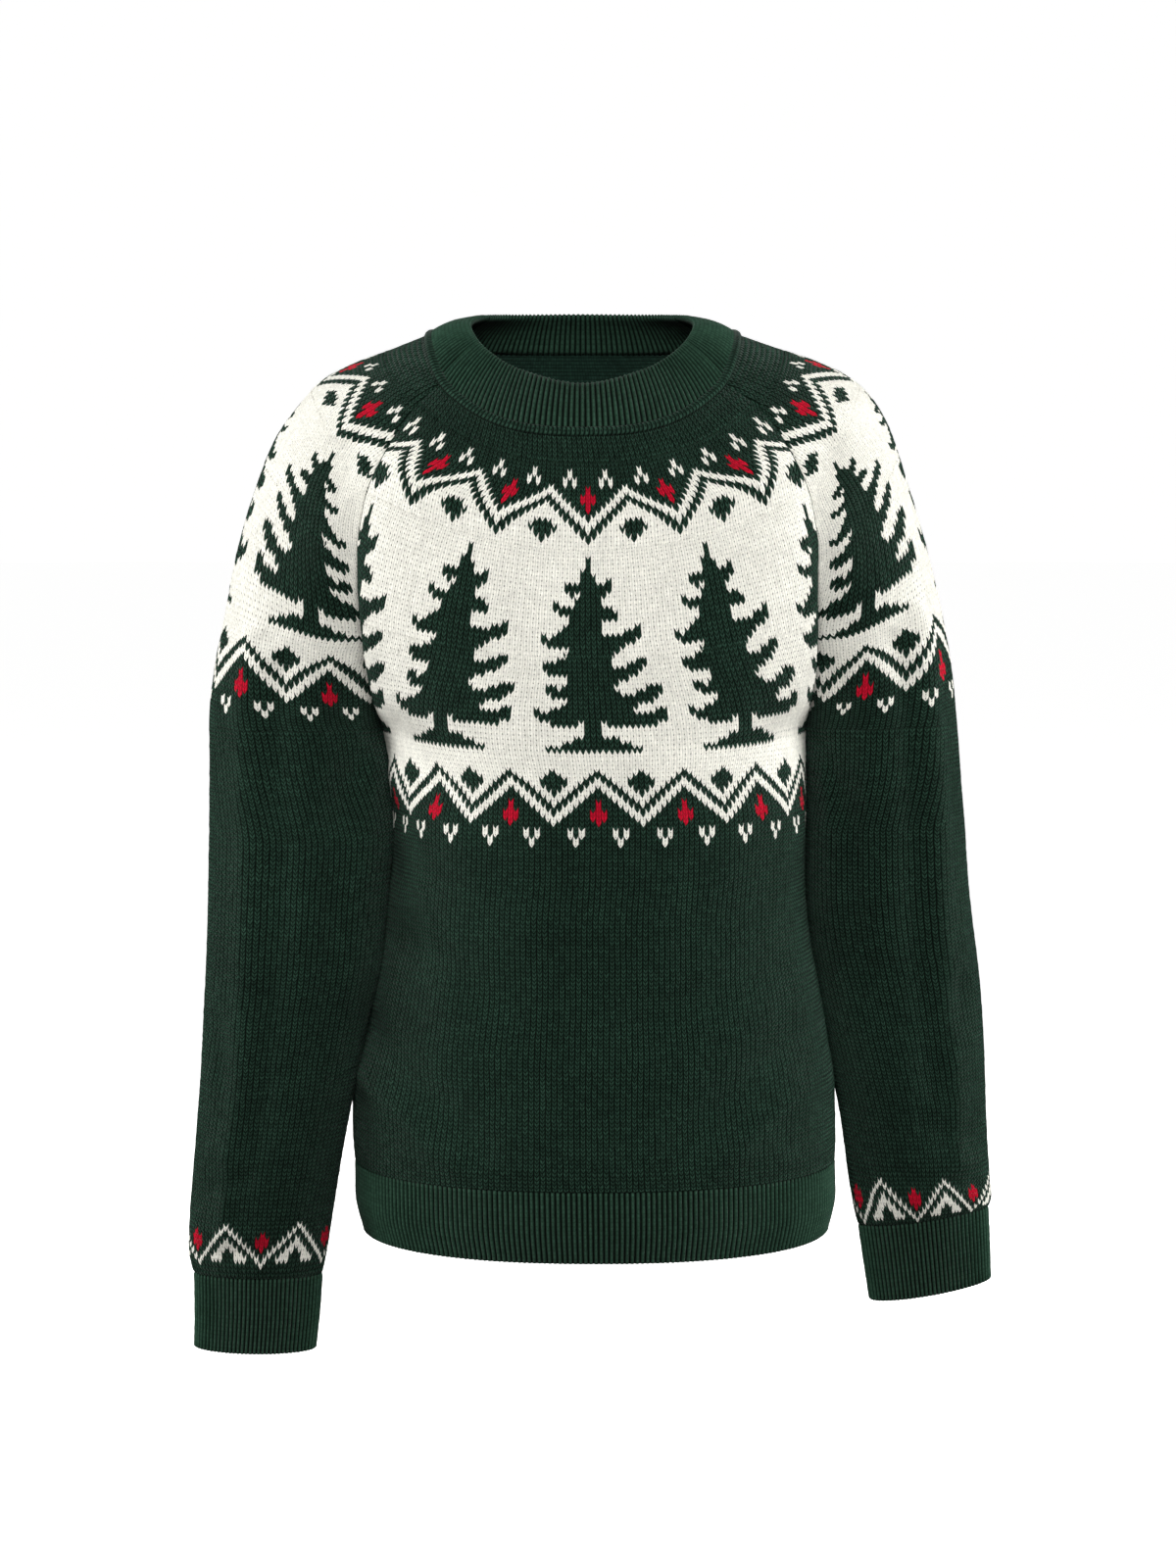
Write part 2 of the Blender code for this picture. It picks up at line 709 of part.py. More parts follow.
def main():
    clear_scene()
    front = body_piece("front", back=False)
    back = body_piece("back", back=True)
    right = sleeve_piece("right_sleeve", RIGHT)
    left = sleeve_piece("left_sleeve", LEFT)
    for sleeve, side, column in ((right, RIGHT, 0), (left, LEFT, -1)):
        join_raglan(front, column, sleeve, 0)
        join_raglan(back, column, sleeve, -1)
        join_side(front, back, side)
        join_armpit(front, back, sleeve, side)
    band_walls = neckband(front, back, right, left)
    square_hem_end(front)
    square_hem_end(back)
    for piece in (front, back, right, left):
        build_piece(piece)
    build_wall("neckband", *band_walls, ring=True)
    build_wall("front_hem_rib", *hem_band(back=False))
    build_wall("back_hem_rib", *hem_band(back=True))
    build_wall("right_cuff", *cuff(RIGHT, RIGHT_CUFF), ring=True)
    build_wall("left_cuff", *cuff(LEFT, LEFT_CUFF), ring=True)


main()
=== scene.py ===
"""Looks of a knitted raglan sweater with a fir tree yoke, on the frame of its solids.

Sizes are in millimetres where a name doesn't say otherwise. The cloth's levels run from the neck (0)
over the armpit (10) to the ribbed bands (20). A knitted row is counted up from the lower zigzag's tips.
"""

import math

import bmesh
import bpy
import numpy as np
from mathutils import Euler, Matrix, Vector


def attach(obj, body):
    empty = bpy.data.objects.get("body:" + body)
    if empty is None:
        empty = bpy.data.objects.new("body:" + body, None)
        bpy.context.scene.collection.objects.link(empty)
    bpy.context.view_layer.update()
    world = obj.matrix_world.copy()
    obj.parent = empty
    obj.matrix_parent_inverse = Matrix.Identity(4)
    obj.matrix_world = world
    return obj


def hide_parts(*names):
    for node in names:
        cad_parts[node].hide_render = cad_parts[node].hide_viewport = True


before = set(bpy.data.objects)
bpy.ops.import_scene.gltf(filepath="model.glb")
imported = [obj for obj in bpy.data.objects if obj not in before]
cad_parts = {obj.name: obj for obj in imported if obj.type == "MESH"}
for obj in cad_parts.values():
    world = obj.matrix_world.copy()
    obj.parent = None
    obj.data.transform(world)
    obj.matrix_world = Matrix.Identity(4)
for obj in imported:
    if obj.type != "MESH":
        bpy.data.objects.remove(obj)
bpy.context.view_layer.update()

MM = 0.001

# Walls of the cloth and the neckband, and the gap at seams
WALL = 2.4
NECKBAND_WALL = 3.0
SEAM_GAP = 0.3
HALF_GAP = SEAM_GAP / 2

# Level of the row through the armpits, and of the last row
ARMPIT = 10
HEM_LEVEL = 20

# The wearer's sides, along X
RIGHT = -1
LEFT = 1

# Ribbed bands: ribs counted round each piece
NECK_RIBS = 88
HEM_RIBS = 64
CUFF_RIBS = 35

# Points that a row is worked out with
ROW_SAMPLES = 241

# How far the raglan seam's valley spreads over the cloth on each side
VALLEY_SPREAD = 15.0

# The body's section: the power of its superellipse, 2 being an ellipse, at the neck and from
# SQUARE_FROM down
NECK_POWER = 2.0
BODY_POWER = 2.25
SQUARE_FROM = 6

# A row's droop in the middle, as a power of the share of the way out: at the neck, and from DROOP_FROM
# down
NECK_DROOP = 3.0
BODY_DROOP = 2.0
DROOP_FROM = 2

# Below the armpit the side seam's end of a row stands higher than its middle, less and less over two
# levels
UNDERARM_LIFT = 4.0
UNDERARM_LEVELS = 2

# A fold dies out over this share of half a row beside a seam, and loses this share of its rise along
# its length
SEAM_FADE = 1 / 6
LENGTH_FADE = 0.45


def table(names, *rows):
    """A table with named columns, the first of which the others are read against."""
    values = np.array(rows, float)
    return {name: values[:, column] for column, name in enumerate(names.split())}


# The yoke: the middle of the front and back, and the raglan seams that bound them. end is how far round
# the body's section goes, in degrees from its middle. depth is half the depth of the sleeve's arc over
# the shoulder, sleeve_end how far round that arc goes, and valley how deep the seam lies in the cloth.
YOKE = table(
    "level front_y front_z back_y back_z seam_x centre_x seam_y front_seam_z back_seam_z end depth "
    "sleeve_end valley",
    (0, -100, -61, 80, -5, 95, -3.5, -2, -28, -3, 66, 62, 58, 0),
    (1, -105, -80, 88, -28, 112, -1, -2, -42, -18, 66, 72, 62, 0),
    (2, -110, -100, 94, -54, 127, 0, -2, -60, -42, 66, 80, 66, 1),
    (3, -116, -132, 100, -90, 146, 0, -2, -93, -80, 68, 84, 71, 3),
    (4, -119, -150, 103, -116, 154, 0, -2, -113, -102, 70, 81, 75, 6),
    (5, -122, -170, 105, -144, 160, 0, -2, -138, -128, 74, 75, 82, 9),
    (6, -124.5, -190, 106.5, -172, 162, 0, -2, -163, -155, 78, 66, 92, 11),
    (7, -126.5, -210, 107, -198, 160, 1, -2, -189, -183, 82, 58, 108, 11),
    (8, -127.5, -230, 107, -222, 156, 2, -2, -216, -212, 86, 53, 128, 9),
    (9, -128, -250, 107, -246, 150.5, 3, -2, -243, -241, 89, 49, 153, 5),
    (10, -128, -266, 107, -266, 146, 4, -2, -262, -262, 90, 46.5, 180, 0),
)

# The body below the armpits
BODY = table(
    "level z half_x centre_x front_y back_y",
    (10, -266, 146, 4, -128, 107),
    (11, -290, 143.7, 6.3, -128, 106),
    (12, -320, 143, 7, -127, 104),
    (13, -350, 143.2, 6.8, -124, 101),
    (14, -385, 146.3, 4.8, -120.5, 99),
    (15, -415, 150.2, 4.9, -118.5, 99.5),
    (16, -441, 155.3, 4.8, -117.5, 101),
    (17, -480, 162.6, 4.4, -117, 104),
    (18, -510, 167.6, 4, -117.5, 107.5),
    (19, -545, 168.4, 4.3, -119.5, 110.5),
    (20, -564, 167.6, 4.8, -118.5, 110),
)

# The hem's ribbed band
HEM = table(
    "level z half_x centre_x front_y back_y",
    (0, -564, 166.6, 4.8, -117.5, 109.5),
    (1, -589, 167, 5.2, -116.5, 109),
    (2, -613.5, 162, 5.5, -113, 106.5),
)

# Each sleeve's outer line, from the neck over the shoulder to the cuff
RIGHT_OUTER = table(
    "level outer_x outer_z",
    (0, -109, 4),
    (1, -134, -5.5),
    (2, -154, -12),
    (3, -181, -25),
    (4, -197, -42),
    (5, -212.5, -63),
    (6, -226.5, -96),
    (7, -240.5, -141),
    (8, -251, -192),
    (9, -258, -226),
    (10, -261.5, -262),
    (11, -261, -303),
    (12, -260.2, -338),
    (13, -260.3, -378),
    (14, -261.2, -416),
    (15, -263.2, -453),
    (16, -266.4, -503),
    (17, -271.6, -559),
    (18, -275.5, -600),
    (19, -276.7, -623),
    (20, -274, -639),
)
LEFT_OUTER = table(
    "level outer_x outer_z",
    (0, 102, 4),
    (1, 128, -4.5),
    (2, 149, -10.5),
    (3, 177, -22.5),
    (4, 193, -36.5),
    (5, 205, -56),
    (6, 217, -90),
    (7, 231, -135),
    (8, 243, -183),
    (9, 250.5, -222),
    (10, 254.5, -259),
    (11, 258.5, -300),
    (12, 262.5, -335),
    (13, 266, -372),
    (14, 270.5, -406),
    (15, 276, -446),
    (16, 279.5, -493),
    (17, 281.3, -540),
    (18, 284, -584),
    (19, 285.2, -597),
    (20, 283.5, -603.5),
)

# Each sleeve below the armpit: its inner line, the middle of its depth and half its depth
RIGHT_INNER = table(
    "level inner_x inner_z y depth",
    (10, -142, -262, -2, 46.5),
    (10.5, -140.2, -282, -3.5, 46.5),
    (11, -138.9, -303, -9, 46.5),
    (12, -136.8, -336, -22, 46),
    (13, -140, -379, -32, 45),
    (14, -143, -418, -38, 44),
    (15, -149.5, -453, -40, 42),
    (16, -159.5, -502, -40, 39.5),
    (17, -170.5, -559, -38, 36.5),
    (18, -177.3, -600, -36, 32.5),
    (19, -181, -623, -35, 27.5),
    (20, -184.5, -640, -34, 23),
)
LEFT_INNER = table(
    "level inner_x inner_z y depth",
    (10, 150, -262, -2, 46.5),
    (10.5, 151.2, -282, -1, 48),
    (11, 151.8, -302, 3, 50),
    (12, 151.8, -337, 10, 52),
    (13, 152, -374, 16, 52),
    (14, 154.5, -408, 20, 50),
    (15, 160.8, -448, 22, 47),
    (16, 169.5, -495, 21, 43.5),
    (17, 179, -542, 19, 40),
    (18, 185, -586, 15, 34.5),
    (19, 188.5, -606, 13, 28.5),
    (20, 191, -617, 12, 23.5),
)

# The cuffs, with the same columns
RIGHT_CUFF = table(
    "level outer_x outer_z inner_x inner_z y depth",
    (0, -272.5, -639.3, -185.5, -640.3, -34, 21.5),
    (1, -272.5, -665, -187.5, -667, -34, 20.5),
    (2, -273.2, -692, -190.5, -693.5, -34, 20.5),
)
LEFT_CUFF = table(
    "level outer_x outer_z inner_x inner_z y depth",
    (0, 282.2, -603.9, 192.3, -617.3, 12, 21.5),
    (1, 283.5, -629, 196.3, -643, 11, 20.5),
    (2, 284.5, -655.5, 200.7, -671, 10, 20.5),
)

# The neckband's free edge, by the angle round the neck from the front
NECK_EDGE = table(
    "angle z",
    (-34, -19),
    (0, -29),
    (34, -19),
    (55, -7),
    (85, 11),
    (120, 19),
    (180, 21),
    (240, 19),
)
NECK_EDGE_CENTRE = (-4.0, -9.0)
NECK_EDGE_HALF = (77.0, 71.0)
NECKBAND_BULGE = 2.5

# The largest folds: a line on the cloth from one place to another, how wide it spreads and how far it
# stands out (+) or sinks in (-). across is x on the body, and on a sleeve the distance round from its
# outer line, to the front (-) or the back (+).
FOLD_COLUMNS = "across z across_end z_end spread rise"
FOLDS = {
    "front": table(
        FOLD_COLUMNS,
        (-132, -262, -62, -318, 15, -4.0),
        (-128, -292, -78, -352, 12, 2.6),
        (140, -258, 70, -306, 15, -3.8),
        (136, -286, 92, -350, 12, 2.4),
        (-118, -540, -70, -556, 9, 2.2),
        (88, -538, 140, -552, 9, 2.4),
        (-20, -520, 18, -470, 22, 2.0),
    ),
    "back": table(
        FOLD_COLUMNS,
        (-136, -262, -58, -322, 16, -4.4),
        (138, -260, 66, -312, 15, -4.2),
        (-104, -420, 96, -436, 17, -3.2),
        (-80, -392, 70, -402, 12, 2.4),
        (-112, -540, -52, -556, 9, 2.4),
        (70, -536, 128, -554, 9, 2.2),
    ),
    "right_sleeve": table(
        FOLD_COLUMNS,
        (-58, -215, -60, -505, 8, 2.6),
        (-47, -70, -70, -128, 7, -5.0),
        (-142, -270, -92, -330, 12, -3.6),
        (-30, -462, -48, -520, 12, -4.2),
        (-92, -452, -52, -436, 10, -2.4),
        (-70, -565, -20, -582, 9, -3.0),
        (-96, -618, -30, -626, 7, -2.4),
        (44, -300, 104, -360, 14, -3.4),
        (40, -470, 96, -500, 11, -3.8),
        (30, -600, 90, -612, 8, -2.6),
    ),
    "left_sleeve": table(
        FOLD_COLUMNS,
        (-52, -205, -54, -500, 8, 2.6),
        (-46, -66, -70, -124, 7, -5.0),
        (-140, -268, -96, -334, 12, -3.4),
        (-40, -446, -62, -508, 12, -4.0),
        (-96, -430, -60, -416, 10, -2.2),
        (-76, -540, -24, -556, 9, -3.0),
        (-98, -578, -30, -584, 7, -2.4),
        (46, -296, 108, -352, 14, -3.6),
        (38, -462, 92, -494, 11, -3.6),
        (30, -566, 92, -580, 8, -2.6),
    ),
}
MM_PER_SLEEVE_DEGREE = 0.9


def read(source, name, level):
    """A column at any level: a cubic through the table's values that never overshoots them."""
    keys, values = source[next(iter(source))], source[name]
    steps = np.diff(keys)
    slopes = np.diff(values) / steps
    rising = slopes[:-1] * slopes[1:]
    shared = np.where(rising > 0, 2 * rising / np.where(rising > 0, slopes[:-1] + slopes[1:], 1), 0)
    tangents = np.concatenate([slopes[:1], shared, slopes[-1:]])
    at = np.clip(np.searchsorted(keys, level, "right") - 1, 0, len(steps) - 1)
    t = (level - keys[at]) / steps[at]
    start, end = values[at], values[at + 1]
    return (
        (1 + 2 * t) * (1 - t) ** 2 * start
        + t * (1 - t) ** 2 * steps[at] * tangents[at]
        + t * t * (3 - 2 * t) * end
        + t * t * (t - 1) * steps[at] * tangents[at + 1]
    )


def unit(vectors):
    return vectors / np.maximum(np.linalg.norm(vectors, axis=-1, keepdims=True), 1e-9)


def body_row(level, back, band=None):
    """The front's or the back's row at a level of the body or of a band, from the wearer's right to the
    left."""
    side = "back" if back else "front"
    if band is None and level <= ARMPIT:
        end = math.radians(read(YOKE, "end", level))
        half_x = read(YOKE, "seam_x", level)
        centre_x = read(YOKE, "centre_x", level)
        reach = read(YOKE, "depth", level) * math.sin(math.radians(read(YOKE, "sleeve_end", level)))
        edge_y = read(YOKE, "seam_y", level) + (reach if back else -reach)
        edge_z = read(YOKE, side + "_seam_z", level)
        middle_z = read(YOKE, side + "_z", level)
        middle_y = read(YOKE, side + "_y", level)
    else:
        source = BODY if band is None else band
        end = math.pi / 2
        half_x = read(source, "half_x", level)
        centre_x = read(source, "centre_x", level)
        edge_y = read(YOKE, "seam_y", ARMPIT)
        middle_z = read(source, "z", level)
        middle_y = read(source, side + "_y", level)
        lift = 0 if band else max(0, 1 - (level - ARMPIT) / UNDERARM_LEVELS)
        edge_z = middle_z + UNDERARM_LIFT * lift**2
    near_neck = 0 if band else max(0, 1 - level / SQUARE_FROM)
    power = 2 / (BODY_POWER + (NECK_POWER - BODY_POWER) * near_neck)
    drooping = 0 if band else max(0, 1 - level / DROOP_FROM)
    droop = BODY_DROOP + (NECK_DROOP - BODY_DROOP) * drooping
    turn = np.linspace(-end, end, ROW_SAMPLES)
    across = np.sign(turn) * (np.abs(np.sin(turn)) / math.sin(end)) ** power
    least = max(0, math.cos(end)) ** power
    along = (np.abs(np.cos(turn)) ** power - least) / (1 - least)
    return np.stack(
        [
            centre_x + half_x * across,
            edge_y + (middle_y - edge_y) * along,
            middle_z + (edge_z - middle_z) * np.abs(across) ** droop,
        ],
        axis=-1,
    )


def sleeve_row(level, side, band=None):
    """A sleeve's or a cuff's row at a level, from the front round its outer line to the back. side is
    -1 for the wearer's right and 1 for the left."""
    outer = band or (RIGHT_OUTER if side < 0 else LEFT_OUTER)
    outer_x = read(outer, "outer_x", level)
    outer_z = read(outer, "outer_z", level)
    if band is None and level < ARMPIT:
        end = math.radians(read(YOKE, "sleeve_end", level))
        inner_x = read(YOKE, "centre_x", level) + side * read(YOKE, "seam_x", level)
        front_z = read(YOKE, "front_seam_z", level)
        back_z = read(YOKE, "back_seam_z", level)
        inner_z = (front_z + back_z) / 2
        lean = (back_z - front_z) / 2 / math.sin(end)
        middle_y = read(YOKE, "seam_y", level)
        depth = read(YOKE, "depth", level)
    else:
        inner = band or (RIGHT_INNER if side < 0 else LEFT_INNER)
        end = math.pi
        inner_x = read(inner, "inner_x", level)
        inner_z = read(inner, "inner_z", level)
        lean = 0
        middle_y = read(inner, "y", level)
        depth = read(inner, "depth", level)
    turn = np.linspace(-end, end, ROW_SAMPLES)
    along = (np.cos(turn) - math.cos(end)) / (1 - math.cos(end))
    return np.stack(
        [
            inner_x + (outer_x - inner_x) * along,
            middle_y + depth * np.sin(turn),
            inner_z + (outer_z - inner_z) * along + lean * np.sin(turn),
        ],
        axis=-1,
    )


def lengths_along(points):
    """How far along its line, or its row of a grid, each point lies."""
    steps = np.linalg.norm(np.diff(points, axis=-2), axis=-1)
    return np.pad(np.cumsum(steps, axis=-1), [(0, 0)] * (steps.ndim - 1) + [(1, 0)])


def interpolated(at, keys, points):
    """Points at places between the keys of some others."""
    return np.stack([np.interp(at, keys, points[:, axis]) for axis in range(3)], axis=-1)


def row_points(row, shares):
    """Points on a row by their share of the way from its middle to its start (-1) or its end (+1)."""
    lengths = lengths_along(row)
    lengths -= lengths[len(row) // 2]
    at = np.where(shares < 0, -shares * lengths[0], shares * lengths[-1])
    return interpolated(at, lengths, row)


def fold_rise(folds, across, height):
    """How far the cloth's folds move it out at places on a piece."""
    rise = np.zeros_like(height)
    for x, z, x_end, z_end, spread, most in zip(*(folds[column] for column in FOLD_COLUMNS.split())):
        run = np.array([x_end - x, z_end - z])
        offset = np.stack([across - x, height - z], axis=-1)
        share = np.clip(offset @ run / (run @ run), 0, 1)
        apart = np.linalg.norm(offset - share[..., None] * run, axis=-1)
        rise += most * np.exp(-((apart / spread) ** 2)) * (1 - LENGTH_FADE * share)
    return rise


def fade_to_seams(shares):
    """1 over most of a row, down to 0 at its two ends."""
    return np.clip((1 - np.abs(shares)) / SEAM_FADE, 0, 1)


def neck_edge(angle):
    """A point on the neckband's free edge. angle is in radians from the front, to the wearer's left."""
    half_x, half_y = NECK_EDGE_HALF
    return np.stack(
        [
            NECK_EDGE_CENTRE[0] + half_x * np.sin(angle),
            NECK_EDGE_CENTRE[1] - half_y * np.cos(angle),
            read(NECK_EDGE, "z", np.abs(np.degrees(angle))),
        ],
        axis=-1,
    )


def neck_angle(points):
    """The angle round the neck of places near it, from the front to the wearer's left."""
    centre_x, centre_y = NECK_EDGE_CENTRE
    return np.arctan2(points[..., 0] - centre_x, centre_y - points[..., 1])


def aligned(vectors, guide):
    """The vectors, each turned round where it points against its guide."""
    return vectors * np.sign(np.sum(vectors * guide, axis=-1))[..., None]


# Finer creases in the cloth, in the columns of the large folds
CREASES = {
    "front": table(
        FOLD_COLUMNS,
        (-138, -275, -96, -330, 7, -1.6),
        (-146, -310, -112, -372, 8, 1.3),
        (142, -280, 104, -326, 7, -1.5),
        (148, -318, 118, -388, 8, 1.2),
        (-60, -546, -12, -557, 6, 1.4),
        (10, -548, 52, -558, 6, 1.2),
        (-150, -505, -128, -548, 7, 1.4),
        (152, -500, 132, -548, 7, 1.4),
        (-130, -322, -114, -462, 15, -4.0),
        (-122, -404, -52, -436, 15, -4.6),
        (46, -448, 118, -422, 16, -4.2),
        (-40, -384, 46, -394, 18, 2.8),
        (-148, -468, -70, -534, 12, -4.4),
        (-152, -500, -90, -548, 9, 3.8),
        (136, -468, 66, -528, 13, -4.2),
        (140, -506, 88, -549, 9, 3.4),
        (-96, -120, -70, -168, 9, -1.0),
        (100, -118, 74, -160, 9, -1.0),
    ),
    "back": table(
        FOLD_COLUMNS,
        (-142, -278, -92, -336, 7, -1.6),
        (-150, -316, -118, -384, 8, 1.2),
        (144, -276, 98, -330, 7, -1.6),
        (150, -322, 120, -380, 8, 1.3),
        (-40, -548, 6, -557, 6, 1.3),
        (20, -546, 62, -558, 6, 1.2),
        (-150, -498, -126, -546, 7, 1.4),
        (150, -505, 128, -548, 7, 1.3),
        (-84, -450, 42, -468, 14, -4.2),
        (-44, -364, 66, -379, 16, 2.6),
        (-140, -468, -72, -530, 13, -4.0),
        (138, -474, 60, -536, 12, -4.3),
        (-90, -130, -60, -180, 9, -1.0),
        (92, -126, 66, -172, 9, -0.9),
    ),
    "right_sleeve": table(
        FOLD_COLUMNS,
        (-130, -292, -100, -372, 7, -1.8),
        (-118, -330, -84, -402, 6, 1.2),
        (-20, -428, -44, -470, 7, 1.2),
        (-24, -498, -62, -528, 7, 1.6),
        (-74, -500, -106, -478, 6, -1.4),
        (-34, -546, -78, -560, 6, 1.4),
        (-22, -602, -66, -608, 6, 1.3),
        (-60, -590, -104, -600, 6, -1.4),
        (30, -340, 70, -420, 8, -1.5),
        (50, -520, 100, -540, 7, 1.4),
        (20, -560, 70, -572, 6, -1.4),
        (-58, -180, -40, -250, 7, -0.9),
        (-46, -196, -52, -604, 9, 4.6),
        (-69, -222, -75, -548, 11, -4.8),
        (-118, -236, -108, -486, 14, -3.8),
        (60, -240, 66, -560, 13, -4.4),
        (-162, -300, -162, -430, 24, 3.4),
        (162, -300, 162, -430, 24, 3.4),
    ),
    "left_sleeve": table(
        FOLD_COLUMNS,
        (-128, -290, -102, -366, 7, -1.8),
        (-116, -336, -86, -400, 6, 1.2),
        (-30, -412, -52, -452, 7, 1.2),
        (-34, -484, -74, -516, 7, 1.6),
        (-82, -470, -112, -452, 6, -1.4),
        (-40, -520, -84, -536, 6, 1.3),
        (-28, -566, -70, -572, 6, 1.2),
        (-62, -552, -104, -560, 6, -1.3),
        (32, -330, 72, -410, 8, -1.5),
        (50, -500, 100, -522, 7, 1.4),
        (20, -534, 68, -546, 6, -1.3),
        (-54, -176, -38, -246, 7, -0.9),
        (-42, -182, -49, -566, 9, 4.6),
        (-64, -204, -71, -520, 11, -4.8),
        (-114, -226, -106, -458, 14, -3.6),
        (58, -232, 66, -528, 13, -4.5),
    ),
}

# Cloth surfaces are worked out this closely, in levels, and at this many places across a row
LEVEL_STEP = 0.05
PLACES = 241
MIDDLE = PLACES // 2
LEVELS = np.arange(0, HEM_LEVEL + LEVEL_STEP / 2, LEVEL_STEP)
SHARES = np.linspace(-1, 1, PLACES)

# Folds die out over this many levels from the neck and from the ribbed band
NECK_FADE = 0.8
HEM_FADE = 0.6


def ends_fade(levels):
    """1 over most of a piece's length, down to 0 at its two ends."""
    return np.clip(levels / NECK_FADE, 0, 1) * np.clip((HEM_LEVEL - levels) / HEM_FADE, 0, 1)


def ring_gradient(points):
    """The steps along each row of a grid whose rows close on themselves."""
    run = np.gradient(points, axis=-2)
    turn = (points[..., 1, :] - points[..., -2, :]) / 2
    run[..., 0, :] = turn
    run[..., -1, :] = turn
    return run


def surface_at(points, normals, row, column):
    """Points and directions of a surface, between those of its grid."""
    high, wide = points.shape[:2]
    # Just short of the last row and column, so that each place has a next one
    row = np.clip(row, 0, high - 1.000001)
    column = np.clip(column, 0, wide - 1.000001)
    i, j = row.astype(int), column.astype(int)
    down, over = (row - i)[..., None], (column - j)[..., None]
    found = []
    for grid in (points, normals):
        near = grid[i, j] * (1 - over) + grid[i, j + 1] * over
        far = grid[i + 1, j] * (1 - over) + grid[i + 1, j + 1] * over
        found.append(near * (1 - down) + far * down)
    return found[0], unit(found[1])


class Cloth:
    """A piece's outer surface: points and directions by level and by share of the way from a row's
    middle to its ends. outward is +1 where rows run to the left seen from outside, or else -1."""

    def __init__(self, name, rows, outward, across, closed):
        self.outward = outward
        self.closed = closed
        self.points = np.array(rows)
        self.face()
        rise = np.zeros(self.points.shape[:2])
        for folds in (FOLDS, CREASES):
            rise += fold_rise(folds[name], across(self.points), self.points[..., 2])
        beside_seam = fade_to_seams(SHARES)[None]
        if closed:
            beside_seam = np.where(LEVELS[:, None] <= ARMPIT, beside_seam, 1)
        rise *= beside_seam * ends_fade(LEVELS)[:, None]
        self.points = self.points + rise[..., None] * self.normals
        self.face()

    def face(self):
        """Works out the directions square to the surface."""
        down = np.gradient(self.points, axis=0)
        across = np.gradient(self.points, axis=1)
        if self.closed:
            tube = LEVELS >= ARMPIT
            across[tube] = ring_gradient(self.points[tube])
        self.normals = self.outward * unit(np.cross(across, down))

    def measure(self):
        """Works out how long each row is from its middle to its start and to its end."""
        lengths = lengths_along(self.points)
        self.half = (lengths[:, MIDDLE], lengths[:, -1] - lengths[:, MIDDLE])

    def half_length(self, level, side):
        """How far a row reaches from its middle to its start (-1) or its end (+1)."""
        at = np.clip(level / LEVEL_STEP, 0, len(LEVELS) - 1)
        start, end = (np.interp(at, np.arange(len(LEVELS)), half) for half in self.half)
        return np.where(side < 0, start, end)

    def at(self, level, share):
        """Points and directions at any level and share."""
        return surface_at(
            self.points, self.normals, level / LEVEL_STEP, (share + 1) / 2 * (PLACES - 1)
        )


def body_cloth(name, back):
    rows = [row_points(body_row(level, back), SHARES) for level in LEVELS]
    return Cloth(name, rows, 1 if back else -1, lambda points: points[..., 0], closed=False)


def sleeve_cloth(name, side):
    rows = [row_points(sleeve_row(level, side), SHARES) for level in LEVELS]
    degrees = np.array([read(YOKE, "sleeve_end", min(level, ARMPIT)) for level in LEVELS])
    around = SHARES[None] * degrees[:, None] * MM_PER_SLEEVE_DEGREE
    return Cloth(name, rows, -side, lambda points: around, closed=True)


def press_valley(cloth, column, facing, depths):
    """Sinks the cloth beside a raglan seam, which lies at the bottom of the valley."""
    rows = cloth.points[: len(depths)]
    lengths = lengths_along(rows)
    apart = lengths if column == 0 else lengths[:, -1:] - lengths
    sink = depths[:, None] * np.exp(-((apart / VALLEY_SPREAD) ** 2))
    cloth.points[: len(depths)] = rows - sink[..., None] * facing[:, None]


def join_raglan(body, body_column, sleeve, sleeve_column):
    """Lays a raglan seam in its valley, from both sides."""
    yoke = int(round(ARMPIT / LEVEL_STEP))
    facing = unit(body.normals[:yoke, body_column] + sleeve.normals[:yoke, sleeve_column])
    depths = np.array([read(YOKE, "valley", level) for level in LEVELS[:yoke]])
    press_valley(body, body_column, facing, depths)
    press_valley(sleeve, sleeve_column, facing, depths)


front_cloth = body_cloth("front", back=False)
back_cloth = body_cloth("back", back=True)
right_cloth = sleeve_cloth("right_sleeve", RIGHT)
left_cloth = sleeve_cloth("left_sleeve", LEFT)
for sleeve, column in ((right_cloth, 0), (left_cloth, -1)):
    join_raglan(front_cloth, column, sleeve, 0)
    join_raglan(back_cloth, column, sleeve, -1)
for cloth in (front_cloth, back_cloth, right_cloth, left_cloth):
    cloth.face()
    cloth.measure()

# Yarns, as the numbers of a knitted piece's materials
GREEN, WHITE, RED = 0, 1, 2

# Stitches in one repeat of the zigzags, and the stitch where the dots between two flowers hang
ZIGZAG_REPEAT = 16
ZIGZAG_HALF = ZIGZAG_REPEAT // 2
DOTS_AT = 4

# Rows of the chart: the first row of the white ground's trees, the rows where stitches are knitted
# together, and the row of the upper zigzag's tips
FIR_ROW = 16
NARROWING_ROWS = (36, 60, 80)
UPPER_ROW = 65

# Stitches from one fir tree to the next, in each stretch between two narrowings
FIR_REPEATS = (28, 24, 24, 24)

